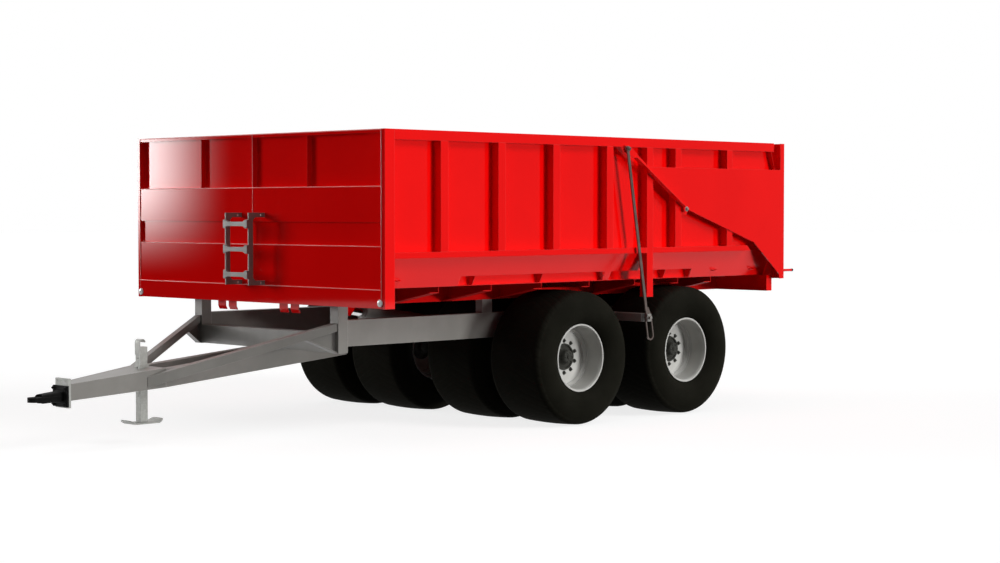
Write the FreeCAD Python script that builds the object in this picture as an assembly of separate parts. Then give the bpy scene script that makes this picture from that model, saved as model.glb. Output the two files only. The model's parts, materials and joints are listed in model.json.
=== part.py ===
"""Peat wagon: a towed tandem tipping trailer on twin wheels, with a rod-opened tailgate.

Millimetres, +X forward along the drawbar, +Y left, +Z up, ground at z = 0.
The parts are drawn with x = 0 midway between the two axles and written with the
origin on the ground under the middle of the whole trailer.
"""
import FreeCAD
import Part
import math
import os

V = FreeCAD.Vector
ALONG_X = V(1, 0, 0)
ALONG_Y = V(0, 1, 0)
ALONG_Z = V(0, 0, 1)

# ---- wheels ---------------------------------------------------------------
TYRE_DIAMETER = 1395.0
TYRE_WIDTH = 780.0
BEAD_DIAMETER = 673.0
RIM_FLANGE_HEIGHT = 13.5
RIM_WIDTH = 620.0
RIM_SHEET = 12.0
RIM_LIP = 25.0
DISC_DEPTH = 238.0
DISC_SHEET = 16.0
DISC_FLAT_RADIUS = 246.0
DISH_DEPTH = 155.0
HUB_BORE = 281.0
HUB_CAP_DEPTH = 166.0
HUB_CAP_RADIUS = 68.0
AXLE_SPACING = 1692.0
TWIN_GAP = 170.0
TWIN_CENTRE_Y = 1090.0
AXLE_SHAFT_RADIUS = 60.0
SHAFT_CLEARANCE = 0.1
SIDE_CLEARANCE = 5.0
TYRE_CLEARANCE = 20.0

# ---- chassis --------------------------------------------------------------
FRAME_WIDTH = 120.0
SIDE_BEAM_BOTTOM = 904.0
SIDE_BEAM_TOP = 1159.0
POST_FRONT = 3500.0
POST_DEPTH = 120.0
POST_BOTTOM = 840.0
FRONT_MEMBER_BOTTOM = 844.0
FRONT_MEMBER_TOP = 1032.0
SUPPORT_POST_X = 1475.0
SUPPORT_POST_LENGTH = 140.0
REST_GAP = 0.3
BOGIE_BEAM_DEPTH = 190.0
BOGIE_PIVOT_Z = 790.0
BOGIE_PIVOT_RADIUS = 55.0
BOGIE_CHEEK = 22.0
CENTRE_MEMBER_LENGTH = 200.0
CENTRE_MEMBER_HEIGHT = 180.0
REAR_MEMBER_LENGTH = 90.0

# ---- drawbar --------------------------------------------------------------
JACK_X = 4971.0
JACK_TUBE = 80.0
JACK_TUBE_WALL = 6.0
JACK_TUBE_TOP = 925.0
JACK_HOOK_TOP = 1000.0
JACK_HOOK_FOOT = 850.0
JACK_HOOK_RADIUS = 34.0
JACK_HOOK_SHEET = 8.0
JACK_HOLE_DIAMETER = 18.0
JACK_HOLE_TOP = 817.0
JACK_HOLE_PITCH = 88.5
JACK_HOLE_COUNT = 5
JACK_SLEEVE_GAP = 0.5
JACK_SLEEVE_WALL = 8.0
JACK_FOOT_Z = 195.0
JACK_FOOT_LENGTH = 388.0
JACK_FOOT_WIDTH = 200.0
JACK_FOOT_THICKNESS = 12.0
JACK_FOOT_RISE = 32.0
JACK_FOOT_TURN_UP = 60.0
JACK_FOOT_CORNER = 50.0
JACK_SLEEVE_BOTTOM = 518.0
JACK_SLEEVE_TOP = 760.0
NOSE_REAR_X = 4880.0
NOSE_REAR_WIDTH = 534.0
NOSE_REAR_BOTTOM = 548.0
NOSE_REAR_TOP = 734.0
NOSE_FRONT_WIDTH = 210.0
NOSE_FRONT_BOTTOM = 474.0
NOSE_FRONT_TOP = 628.0
DRAWBAR_PLATE_X = 5820.0
DRAWBAR_PLATE_THICKNESS = 32.0
DRAWBAR_PLATE_BOTTOM = 406.0
DRAWBAR_PLATE_TOP = 678.0
BOLT_HOLE_DIAMETER = 14.0
BOLT_HOLE_PITCH = 71.0
BOLT_HOLE_EDGE = 23.0
LEG_WIDTH = 100.0
LEG_HEIGHT = 175.0
LEG_RISE = 0.0877
LEG_REAR_X = 2640.0
STRUT_WIDTH = 85.0
STRUT_FRONT_X = 5070.0
STRUT_FRONT_BOTTOM = 553.0
STRUT_FRONT_HEIGHT = 102.0
STRUT_REAR_BOTTOM = 1056.0
STRUT_REAR_HEIGHT = 75.0
STRUT_INSET = 10.0
GUSSET_LENGTH = 260.0
GUSSET_WEB = 10.0
GUSSET_FLANGE = 12.0
EYE_Z = 497.0
EYE_BORE = 50.0
EYE_OUTER = 130.0
EYE_THICKNESS = 44.0
EYE_TIP_X = 6203.0
EYE_FLANGE_THICKNESS = 20.0
EYE_FLANGE_WIDTH = 240.0
EYE_FLANGE_BOTTOM = 417.0
EYE_FLANGE_TOP = 612.0
EYE_NECK_HEIGHT = 97.0
EYE_NECK_RISE = 18.0

# ---- body -----------------------------------------------------------------
BODY_FRONT = 3633.0
BODY_REAR = -2374.0
BODY_HALF_WIDTH = 1973.0
BODY_TOP = 2977.0
SHEET = 5.0
TOP_RAIL_HEIGHT = 97.0
RIB_DEPTH = 95.0
RIB_WIDTH = 100.0
PIVOT_RIB_FRONT = -544.0
RIB_FRONTS = (2919.0, 2145.0, 1364.0, 557.0, PIVOT_RIB_FRONT, -1430.0)
LONG_RIB_FRONT = -78.0
REAR_TOP_X = -2277.0
REAR_CORNER_Z = 2600.0
REAR_FLANGE_WIDTH = 60.0
CORNER_POST_LENGTH = 123.0
CORNER_POST_WIDTH = 46.0
LOWER_RAIL_BOTTOM = 1766.0
LOWER_RAIL_TOP = 1824.0
LOWER_RAIL_REAR = -1860.0
SKIRT_FOOT_Y = 1748.0
STEP_FRONT = 2486.0
STEP_REAR = -1040.0
STEP_TOP = 1577.0
STEP_INNER_Y = 1700.0
STEP_GUSSETS = (2285.0, 1325.0, -605.0)
STEP_PLATE_REAR = 283.0
STEP_PLATE_LENGTH = 100.0
FLOOR_TOP = 1486.0
FLOOR_SHEET = 6.0
SUBFRAME_BOTTOM = 1300.0
FLOOR_MEMBER_DEPTH = 60.0
FLOOR_MEMBER_WIDTH = 80.0
FLOOR_MEMBER_PITCH = 720.0
FLOOR_MEMBER_FIRST = 3457.0
FLOOR_MEMBER_COUNT = 7
FLOOR_MEMBER_LAST = -1430.0
OUTRIGGER_SHEET = 8.0
OUTRIGGER_FLANGE = 120.0
REAR_BEAM_LENGTH = 97.0
FRONT_RECESS = 54.0
FRONT_MID_STEP = 26.0
FRONT_STEP = 50.0
FRONT_STEP_SLOPE = 20.0
FRONT_TOP_LIP = 37.0
FRONT_ROW_BOTTOM = 2443.0
FRONT_MID_BOTTOM = 2106.0
FRONT_LOW_TOP = 1881.0
FRONT_BAND_TOP = 1478.0
FRONT_BAND_PROUD = 6.0
FRONT_FIN_SPACING = 850.0
FRONT_FIN_SHEET = 8.0
FRONT_SEAM_PROUD = 3.0
TAB_PAIR_Y = 497.0
TAB_WIDTH = 125.0
TAB_GAP = 50.0
TAB_BOTTOM = 1217.0
TAB_SHEET = 8.0
LADDER_WIDTH = 384.0
LADDER_BOTTOM = 1480.0
LADDER_TOP = 2196.0
LADDER_PLATE = 16.0
LADDER_STANDOFF = 146.0
LADDER_RAIL_DEPTH = 54.0
LADDER_LEG_HEIGHT = 45.0
LADDER_LEG_FLARE = 28.0
LADDER_HOLE_DIAMETER = 18.0
LADDER_HOLE_OFFSET = 52.0
RUNG_DEPTH = 24.0
RUNG_HEIGHT = 44.0
RUNG_END_HEIGHT = 84.0
RUNG_END_LENGTH = 30.0
RUNG_FLARE_LENGTH = 65.0
RUNG_PITCH = 250.0
RUNG_LOWEST = 1585.0
RUNG_COUNT = 3

# ---- tipping hinge and cylinder -------------------------------------------
TIP_HINGE_X = -1700.0
TIP_HINGE_Z = 1150.0
TIP_SHAFT_RADIUS = 35.0
TIP_EYE_RADIUS = 70.0
TIP_EAR_THICKNESS = 25.0
CYLINDER_BASE_X = -300.0
CYLINDER_BASE_Z = 750.0
CYLINDER_EYE_X = 2450.0
CYLINDER_EYE_Z = 1190.0
CYLINDER_RADIUS = 85.0
CYLINDER_ROD_RADIUS = 45.0
CYLINDER_ROD_SHOWN = 260.0
CYLINDER_EYE_RADIUS = 60.0
CYLINDER_EYE_WIDTH = 110.0
CYLINDER_BASE_WIDTH = 180.0
CYLINDER_PIN_RADIUS = 28.0
CHEEK_THICKNESS = 20.0

# ---- tailgate -------------------------------------------------------------
GATE_PIVOT_X = -680.0
GATE_PIVOT_Z = 2233.0
GATE_PIVOT_RADIUS = 22.0
GATE_SIDE_GAP = 6.0
GATE_SHEET = 8.0
GATE_SIDE_TOP = 2676.0
GATE_BOTTOM = 1495.0
GATE_REAR = -2456.0
GATE_FRAME_DEPTH = 75.0
GATE_TOP = 2975.0
GATE_PIN_Z = 1532.0
GATE_PIN_LENGTH = 185.0
GATE_PIN_RADIUS = 15.0
GATE_PIN_INSET = 3.0
GATE_LIP = 50.0
GATE_STEP_X = -1902.0
GATE_STEP_Z = 1858.0
GATE_TOP_FRONT = -90.0
GATE_BAR = 80.0

# ---- tailgate rods --------------------------------------------------------
ROD_TOP_X = 275.0
ROD_TOP_Z = 2859.0
ROD_FOOT_X = -40.0
ROD_FOOT_Z = 1085.0
ROD_RADIUS = 17.0
ROD_TOP_PIN_RADIUS = 14.0
ROD_FOOT_PIN_RADIUS = 13.0
ROD_SLOT_TRAVEL = 200.0
ROD_SLOT_SPARE = 18.0
ROD_SLOT_WIDTH = 70.0
ROD_LOOP_BAR = 16.0
ROD_LOOP_THICKNESS = 16.0
ROD_SLOT_OFFSET = -17.0
ROD_ARM_WIDTH = 100.0
ROD_ARM_HEIGHT = 85.0
ROD_NUT_PLATE = 60.0

# ---- places worked out from the sizes above -------------------------------
WHEEL_Z = TYRE_DIAMETER / 2
FRONT_AXLE_X = AXLE_SPACING / 2
BEAM_OUTER_Y = TWIN_CENTRE_Y + FRAME_WIDTH / 2
BEAM_INNER_Y = TWIN_CENTRE_Y - FRAME_WIDTH / 2
POST_REAR = POST_FRONT - POST_DEPTH
SIDE_BEAM_REAR = TIP_HINGE_X
WALL_OUTER_Y = BODY_HALF_WIDTH - RIB_DEPTH
WALL_INNER_Y = WALL_OUTER_Y - SHEET
RAIL_BOTTOM = BODY_TOP - TOP_RAIL_HEIGHT
FRAME_TOP = FLOOR_TOP - FLOOR_SHEET
CORNER_POST_REAR = BODY_FRONT - CORNER_POST_LENGTH
FRONT_BOTTOM = SUBFRAME_BOTTOM + 4
GATE_SIDE_Y = BODY_HALF_WIDTH + GATE_SIDE_GAP
GATE_OUTER_Y = GATE_SIDE_Y + GATE_SHEET
GATE_PLATE_REAR = GATE_REAR + GATE_FRAME_DEPTH
GATE_SKIN_X = GATE_REAR + GATE_SHEET
GATE_FOOT = GATE_BOTTOM - 55
GATE_KINK = (GATE_PIVOT_X + 38, GATE_PIVOT_Z + 23)
ROD_Y = GATE_OUTER_Y + GATE_SIDE_GAP + ROD_RADIUS
PIN_END_X = GATE_REAR - GATE_PIN_LENGTH
ORIGIN_X = (EYE_TIP_X + PIN_END_X) / 2


# ---- shapes ---------------------------------------------------------------
def box(x0, x1, y0, y1, z0, z1):
    """A block between two corners."""
    return Part.makeBox(x1 - x0, y1 - y0, z1 - z0, V(x0, y0, z0))


def prism(points, direction):
    """A closed outline of points, pushed along a vector."""
    return Part.Face(Part.makePolygon(points + points[:1])).extrude(direction)


def plate_xz(points, y0, y1):
    """An outline of (x, z) points between two y planes."""
    return prism([V(x, y0, z) for x, z in points], V(0, y1 - y0, 0))


def plate_yz(points, x0, x1):
    """An outline of (y, z) points between two x planes."""
    return prism([V(x0, y, z) for y, z in points], V(x1 - x0, 0, 0))


def plate_xy(points, z0, z1):
    """An outline of (x, y) points between two z planes."""
    return prism([V(x, y, z0) for x, y in points], V(0, 0, z1 - z0))


def cylinder(centre, axis, radius, length):
    """A round bar that starts at a centre and runs along an axis."""
    return Part.makeCylinder(radius, length, centre, axis)


def cross_bar(x, z, radius, y0, y1):
    """A round bar across the trailer."""
    return cylinder(V(x, y0, z), ALONG_Y, radius, y1 - y0)


def folded(points, thickness):
    """The closed outline of a sheet folded along an open line of points, thickened to its left."""
    offset = []
    for i, (px, py) in enumerate(points):
        normals = []
        for a, b in ((i - 1, i), (i, i + 1)):
            if a >= 0 and b < len(points):
                dx = points[b][0] - points[a][0]
                dy = points[b][1] - points[a][1]
                length = math.hypot(dx, dy)
                normals.append((-dy / length, dx / length))
        nx = sum(n[0] for n in normals)
        ny = sum(n[1] for n in normals)
        scale = thickness * len(normals) / (nx * nx + ny * ny)
        if len(normals) == 1:
            scale = thickness
        offset.append((px + nx * scale, py + ny * scale))
    return list(points) + offset[::-1]


def fused(*solids):
    """One solid from several that meet."""
    first = solids[0]
    return first.multiFuse(list(solids[1:])).removeSplitter()


def between(start, end, share):
    """The value at a share of the way from a start to an end."""
    return start + share * (end - start)


def mirrored(shape):
    """The same shape on the other side of the trailer."""
    return shape.mirror(V(0, 0, 0), ALONG_Y)


def pair(shape):
    """A left and a right solid."""
    return Part.makeCompound([shape, mirrored(shape)])


def write(node, shape):
    """Save one node with the origin moved under the middle of the trailer."""
    moved = shape.copy()
    moved.translate(V(-ORIGIN_X, 0, 0))
    moved.exportStep("parts/" + node + ".step")


# ---- wheels ---------------------------------------------------------------
def tyre(y):
    """A wide low-pressure tyre about the axle line, centred on y."""
    half = TYRE_WIDTH / 2
    bead = BEAD_DIAMETER / 2
    outer = TYRE_DIAMETER / 2
    edge = RIM_WIDTH / 2 - 8
    wall_radius = (bead + outer) / 2 - 10
    shoulder = (half - 42, outer - 52)
    tread_edge = (half - 110, outer - 9)
    shoulder_mid = (half - 66, outer - 23)

    def at(offset, radius):
        return V(0, y + offset, radius)

    right = [
        Part.Arc(at(edge, bead + RIM_FLANGE_HEIGHT + 6), at(half, wall_radius), at(*shoulder)).toShape(),
        Part.Arc(at(*shoulder), at(*shoulder_mid), at(*tread_edge)).toShape(),
    ]
    crown = Part.Arc(at(*tread_edge), at(0, outer), at(-tread_edge[0], tread_edge[1])).toShape()
    left = [
        Part.Arc(at(-tread_edge[0], tread_edge[1]), at(-shoulder_mid[0], shoulder_mid[1]),
                 at(-shoulder[0], shoulder[1])).toShape(),
        Part.Arc(at(-shoulder[0], shoulder[1]), at(-half, wall_radius),
                 at(-edge, bead + RIM_FLANGE_HEIGHT + 6)).toShape(),
    ]
    base = [
        Part.LineSegment(at(-edge, bead + RIM_FLANGE_HEIGHT + 6), at(-edge, bead)).toShape(),
        Part.LineSegment(at(-edge, bead), at(edge, bead)).toShape(),
        Part.LineSegment(at(edge, bead), at(edge, bead + RIM_FLANGE_HEIGHT + 6)).toShape(),
    ]
    wire = Part.Wire(Part.__sortEdges__(right + [crown] + left + base))
    return Part.Face(wire).revolve(V(0, 0, 0), ALONG_Y, 360)


def spun(points, y, side):
    """A solid of revolution about the axle line from (offset outward, radius) points.

    A point with a third value is the middle of an arc between its neighbours.
    """
    edges = []
    start = points[0]
    middle = None
    for point in points[1:] + points[:1]:
        if len(point) == 3:
            middle = point
            continue
        places = [V(0, y + side * p[0], p[1]) for p in (start, middle, point) if p]
        curve = Part.Arc(*places) if middle else Part.LineSegment(*places)
        edges.append(curve.toShape())
        start, middle = point, None
    return Part.Face(Part.Wire(edges)).revolve(V(0, 0, 0), ALONG_Y, 360)


def rim(y, side):
    """A rim whose dished disc faces outward to the given side of its tyre."""
    half = RIM_WIDTH / 2
    bead = BEAD_DIAMETER / 2
    flange = bead + RIM_FLANGE_HEIGHT
    inner = bead - RIM_SHEET
    disc = half - DISC_DEPTH
    dish = half - DISH_DEPTH
    bore = HUB_BORE / 2
    turn = math.sqrt(0.5)
    dish_middle = (dish - (dish - disc) * turn, DISC_FLAT_RADIUS + (inner - DISC_FLAT_RADIUS) * turn, "arc")
    return spun([
        (-half, inner), (-half, flange), (-half + 8, flange), (-half + 8, bead),
        (half - 8, bead), (half - 8, flange), (half, flange), (half, bead - 2), (half - RIM_LIP, inner),
        (dish, inner), dish_middle, (disc, DISC_FLAT_RADIUS), (disc, bore),
        (disc - DISC_SHEET, bore), (disc - DISC_SHEET, DISC_FLAT_RADIUS + DISC_SHEET / 2),
        (dish - 2 * DISC_SHEET, inner)], y, side)


def hub():
    """One hub barrel through the bogie beam, with a flange and a nose for each twin wheel."""
    face = (TWIN_GAP + TYRE_WIDTH) / 2 + RIM_WIDTH / 2
    disc_front = face - DISC_DEPTH
    disc_back = disc_front - DISC_SHEET
    cap = face - HUB_CAP_DEPTH
    beam_half = FRAME_WIDTH / 2 + SIDE_CLEARANCE
    bore = HUB_BORE / 2
    half = [
        (0, AXLE_SHAFT_RADIUS), (beam_half, AXLE_SHAFT_RADIUS), (beam_half, 105),
        (disc_back - 90, 120), (disc_back - 22, 140), (disc_back - 22, 205), (disc_back, 205),
        (disc_back, bore - 1), (disc_front + 12, bore - 4), (disc_front + 12, bore - 18),
        (disc_front - 4, bore - 22), (disc_front - 4, HUB_CAP_RADIUS + 22),
        (disc_front + 14, HUB_CAP_RADIUS + 4),
        (cap - 8, HUB_CAP_RADIUS), (cap, HUB_CAP_RADIUS - 8), (cap, 0)]
    other = [(-offset, radius) for offset, radius in half[::-1]]
    return spun(other + half[1:], TWIN_CENTRE_Y, 1)


def wheels():
    """Four pairs of twin wheels, each pair turning as one."""
    tyre_y = (TWIN_GAP + TYRE_WIDTH) / 2
    outer_tyre = tyre(TWIN_CENTRE_Y + tyre_y)
    inner_tyre = tyre(TWIN_CENTRE_Y - tyre_y)
    outer_rim = rim(TWIN_CENTRE_Y + tyre_y, 1)
    inner_rim = rim(TWIN_CENTRE_Y - tyre_y, -1)
    sets = {
        "tyres": Part.makeCompound([outer_tyre, inner_tyre]),
        "rims": Part.makeCompound([outer_rim, inner_rim]),
        "hub": hub(),
    }
    for end, x in (("front", FRONT_AXLE_X), ("rear", -FRONT_AXLE_X)):
        for name, shape in sets.items():
            left = shape.copy()
            left.translate(V(x, 0, WHEEL_Z))
            write(name + "_" + end + "_left", left)
            write(name + "_" + end + "_right", mirrored(left))


# ---- chassis --------------------------------------------------------------
def side_beams():
    """Two main beams that run between the twin tyres, each with the tipping hinge's eye at its end."""
    beam = box(SIDE_BEAM_REAR, POST_REAR, BEAM_INNER_Y, BEAM_OUTER_Y, SIDE_BEAM_BOTTOM, SIDE_BEAM_TOP)
    eye = cross_bar(TIP_HINGE_X, TIP_HINGE_Z, TIP_EYE_RADIUS, BEAM_INNER_Y, BEAM_OUTER_Y)
    bore = cross_bar(TIP_HINGE_X, TIP_HINGE_Z, TIP_SHAFT_RADIUS + SHAFT_CLEARANCE,
                     BEAM_INNER_Y - 1, BEAM_OUTER_Y + 1)
    write("side_beams", pair(fused(beam, eye).cut(bore)))


def body_posts():
    """The posts that the lowered body rests on."""
    top = SUBFRAME_BOTTOM - REST_GAP
    front = box(POST_REAR, POST_FRONT, BEAM_INNER_Y, BEAM_OUTER_Y, POST_BOTTOM, top)
    middle = box(SUPPORT_POST_X - SUPPORT_POST_LENGTH / 2, SUPPORT_POST_X + SUPPORT_POST_LENGTH / 2,
                 BEAM_INNER_Y + 10, BEAM_OUTER_Y - 10, SIDE_BEAM_TOP, top)
    write("body_posts", Part.makeCompound([front, middle, mirrored(front), mirrored(middle)]))


def front_member():
    """The cross member between the front posts."""
    return box(POST_REAR, POST_FRONT, -BEAM_INNER_Y, BEAM_INNER_Y, FRONT_MEMBER_BOTTOM, FRONT_MEMBER_TOP)


def cross_members():
    """The front, middle and rear members between the side beams, with the cylinder's lugs."""
    half = CENTRE_MEMBER_LENGTH / 2
    lug_inner = CYLINDER_BASE_WIDTH / 2 + SIDE_CLEARANCE
    lug_outer = lug_inner + CHEEK_THICKNESS
    member_top = SIDE_BEAM_BOTTOM + CENTRE_MEMBER_HEIGHT
    member = box(-half, half, lug_outer, BEAM_INNER_Y, SIDE_BEAM_BOTTOM, member_top)
    member = member.cut(bogie_cheek(BEAM_INNER_Y - BOGIE_CHEEK))
    web_bottom = CYLINDER_BASE_Z - CYLINDER_RADIUS - 70
    x = CYLINDER_BASE_X
    z = CYLINDER_BASE_Z
    lug = plate_xz([
        (half, member_top), (-half, member_top), (x - 30, z + 70), (x - 75, z + 20), (x - 75, z - 30),
        (x - 35, z - 70), (-half, web_bottom), (half, web_bottom)], lug_inner, lug_outer)
    lug = lug.cut(cross_bar(x, z, CYLINDER_PIN_RADIUS + SHAFT_CLEARANCE, lug_inner - 1, lug_outer + 1))
    web = box(-half, half, -lug_inner, lug_inner, web_bottom, web_bottom + CHEEK_THICKNESS)
    rear = box(TIP_HINGE_X + TIP_EYE_RADIUS + 10, TIP_HINGE_X + TIP_EYE_RADIUS + 10 + REAR_MEMBER_LENGTH,
               -BEAM_INNER_Y, BEAM_INNER_Y, SIDE_BEAM_BOTTOM, SIDE_BEAM_TOP - 60)
    members = [front_member(), member, mirrored(member), lug, mirrored(lug), web, rear]
    write("cross_members", Part.makeCompound(members))


def bogie_cheek(y):
    """One plate under a side beam that holds the bogie's pivot, from y outward."""
    return plate_xz([(-130, SIDE_BEAM_BOTTOM + 60), (130, SIDE_BEAM_BOTTOM + 60),
                     (75, BOGIE_PIVOT_Z - 60), (45, BOGIE_PIVOT_Z - 85),
                     (-45, BOGIE_PIVOT_Z - 85), (-75, BOGIE_PIVOT_Z - 60)], y, y + BOGIE_CHEEK)


def bogies():
    """Two rocking beams between the twin wheels, and the brackets that carry them."""
    end = FRONT_AXLE_X
    half = BOGIE_BEAM_DEPTH / 2
    low = WHEEL_Z - half
    high = WHEEL_Z + half
    outline = [
        (-end - half, low + 30), (-end - half, high - 30), (-end - half + 40, high), (-end + half, high),
        (-150, BOGIE_PIVOT_Z + half - 10), (150, BOGIE_PIVOT_Z + half - 10),
        (end - half, high), (end + half - 40, high), (end + half, high - 30),
        (end + half, low + 30), (end + half - 40, low), (-end - half + 40, low)]
    beam = plate_xz(outline, BEAM_INNER_Y, BEAM_OUTER_Y)
    for x in (-end, end):
        beam = beam.cut(cross_bar(x, WHEEL_Z, AXLE_SHAFT_RADIUS + SHAFT_CLEARANCE,
                                  BEAM_INNER_Y - 1, BEAM_OUTER_Y + 1))
    beam = beam.cut(cross_bar(0, BOGIE_PIVOT_Z, BOGIE_PIVOT_RADIUS, BEAM_INNER_Y - 1, BEAM_OUTER_Y + 1))
    write("bogie_beams", pair(beam))
    cheeks = [bogie_cheek(BEAM_OUTER_Y), bogie_cheek(BEAM_INNER_Y - BOGIE_CHEEK)]
    shaft = cross_bar(0, BOGIE_PIVOT_Z, BOGIE_PIVOT_RADIUS, BEAM_INNER_Y - 40, BEAM_OUTER_Y + 40)
    write("bogie_pivots", pair(fused(shaft, *cheeks)))


def rod_arms():
    """Arms that reach out between the wheels to the pins that hold the tailgate rods."""
    arm_end = GATE_OUTER_Y - 12
    arm = box(ROD_FOOT_X - ROD_ARM_WIDTH / 2, ROD_FOOT_X + ROD_ARM_WIDTH / 2, BEAM_OUTER_Y, arm_end,
              ROD_FOOT_Z - ROD_ARM_HEIGHT / 2, ROD_FOOT_Z + ROD_ARM_HEIGHT / 2)
    plate_inner = ROD_Y + ROD_LOOP_THICKNESS / 2 + SIDE_CLEARANCE
    pin = cross_bar(ROD_FOOT_X, ROD_FOOT_Z, ROD_FOOT_PIN_RADIUS, arm_end, plate_inner)
    half = ROD_NUT_PLATE / 2
    keeper = box(ROD_FOOT_X - half, ROD_FOOT_X + half, plate_inner, plate_inner + 20,
                 ROD_FOOT_Z - half - 10, ROD_FOOT_Z + half + 10)
    nut = cross_bar(ROD_FOOT_X, ROD_FOOT_Z, ROD_FOOT_PIN_RADIUS + 5, plate_inner + 20, plate_inner + 45)
    write("rod_arms", pair(fused(arm, pin, keeper, nut)))


def tip_shafts():
    """The two stub shafts that the body tips about."""
    reach = TIP_EAR_THICKNESS + SIDE_CLEARANCE + 15
    write("tip_shafts", pair(cross_bar(TIP_HINGE_X, TIP_HINGE_Z, TIP_SHAFT_RADIUS,
                                       BEAM_INNER_Y - reach, BEAM_OUTER_Y + reach)))


def section(x, y0, y1, z0, z1):
    """A rectangle in a plane across the trailer."""
    corners = [V(x, y0, z0), V(x, y1, z0), V(x, y1, z1), V(x, y0, z1)]
    return Part.makePolygon(corners + corners[:1])


def tapered(rear, front):
    """A straight bar between two rectangles."""
    return Part.makeLoft([rear, front], True, True)


def drawbar_nose():
    """The tapered box that ends the drawbar, with a socket for the jack's sleeve."""
    rear = section(NOSE_REAR_X, -NOSE_REAR_WIDTH / 2, NOSE_REAR_WIDTH / 2, NOSE_REAR_BOTTOM, NOSE_REAR_TOP)
    front = section(DRAWBAR_PLATE_X, -NOSE_FRONT_WIDTH / 2, NOSE_FRONT_WIDTH / 2,
                    NOSE_FRONT_BOTTOM, NOSE_FRONT_TOP)
    sleeve_half = JACK_TUBE / 2 + JACK_SLEEVE_GAP + JACK_SLEEVE_WALL
    socket = box(JACK_X - sleeve_half, JACK_X + sleeve_half, -sleeve_half, sleeve_half, 0, JACK_HOOK_TOP)
    return tapered(rear, front).cut(socket)


def drawbar_leg():
    """A lower beam that runs back from the nose and passes under the front member."""
    outer = NOSE_REAR_WIDTH / 2
    rear_bottom = NOSE_REAR_BOTTOM + LEG_RISE * (NOSE_REAR_X - LEG_REAR_X)
    rear = section(LEG_REAR_X, outer - LEG_WIDTH, outer, rear_bottom, rear_bottom + LEG_HEIGHT)
    front = section(NOSE_REAR_X, outer - LEG_WIDTH, outer, NOSE_REAR_BOTTOM, NOSE_REAR_BOTTOM + LEG_HEIGHT)
    return tapered(rear, front).cut(front_member())


def drawbar_strut():
    """A strut from the side of the nose up to a front post, with a gusset below its rear end."""
    side_slope = (NOSE_REAR_WIDTH - NOSE_FRONT_WIDTH) / 2 / (DRAWBAR_PLATE_X - NOSE_REAR_X)
    front_y = NOSE_REAR_WIDTH / 2 - side_slope * (STRUT_FRONT_X - NOSE_REAR_X)
    rear_y = BEAM_OUTER_Y - STRUT_INSET
    rear = section(POST_FRONT, rear_y - STRUT_WIDTH, rear_y, STRUT_REAR_BOTTOM,
                   STRUT_REAR_BOTTOM + STRUT_REAR_HEIGHT)
    front = section(STRUT_FRONT_X, front_y - STRUT_WIDTH, front_y, STRUT_FRONT_BOTTOM,
                    STRUT_FRONT_BOTTOM + STRUT_FRONT_HEIGHT)
    strut = tapered(rear, front).cut(drawbar_nose()).cut(drawbar_leg())
    share = GUSSET_LENGTH / (STRUT_FRONT_X - POST_FRONT)
    tip_x = POST_FRONT + GUSSET_LENGTH
    tip_y = between(rear_y, front_y, share)
    tip_z = between(STRUT_REAR_BOTTOM, STRUT_FRONT_BOTTOM, share)
    flange = tapered(
        section(POST_FRONT, rear_y - STRUT_WIDTH, rear_y, POST_BOTTOM, POST_BOTTOM + GUSSET_FLANGE),
        section(tip_x, tip_y - STRUT_WIDTH, tip_y, tip_z, tip_z + GUSSET_FLANGE))
    web_inset = (STRUT_WIDTH - GUSSET_WEB) / 2
    web = tapered(
        section(POST_FRONT, rear_y - STRUT_WIDTH + web_inset, rear_y - web_inset,
                POST_BOTTOM + GUSSET_FLANGE / 2, STRUT_REAR_BOTTOM + STRUT_REAR_HEIGHT / 2),
        section(tip_x, tip_y - STRUT_WIDTH + web_inset, tip_y - web_inset,
                tip_z + GUSSET_FLANGE / 2, tip_z + STRUT_REAR_HEIGHT / 2))
    return fused(strut, flange, web)


def drawbar():
    """The tapered nose, the lower legs and the upper struts of the drawbar."""
    write("drawbar_nose", drawbar_nose())
    write("drawbar_legs", pair(drawbar_leg()))
    write("drawbar_struts", pair(drawbar_strut()))


def drawbar_plate():
    """The upright plate at the end of the drawbar, with its rows of bolt holes."""
    half = NOSE_FRONT_WIDTH / 2
    front = DRAWBAR_PLATE_X + DRAWBAR_PLATE_THICKNESS
    plate = box(DRAWBAR_PLATE_X, front, -half, half, DRAWBAR_PLATE_BOTTOM, DRAWBAR_PLATE_TOP)
    holes = []
    for y in (-BOLT_HOLE_PITCH, 0, BOLT_HOLE_PITCH):
        start = V(DRAWBAR_PLATE_X - 1, y, DRAWBAR_PLATE_TOP - BOLT_HOLE_EDGE)
        holes.append(cylinder(start, ALONG_X, BOLT_HOLE_DIAMETER / 2, DRAWBAR_PLATE_THICKNESS + 2))
    write("drawbar_plate", plate.cut(Part.makeCompound(holes)))


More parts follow.
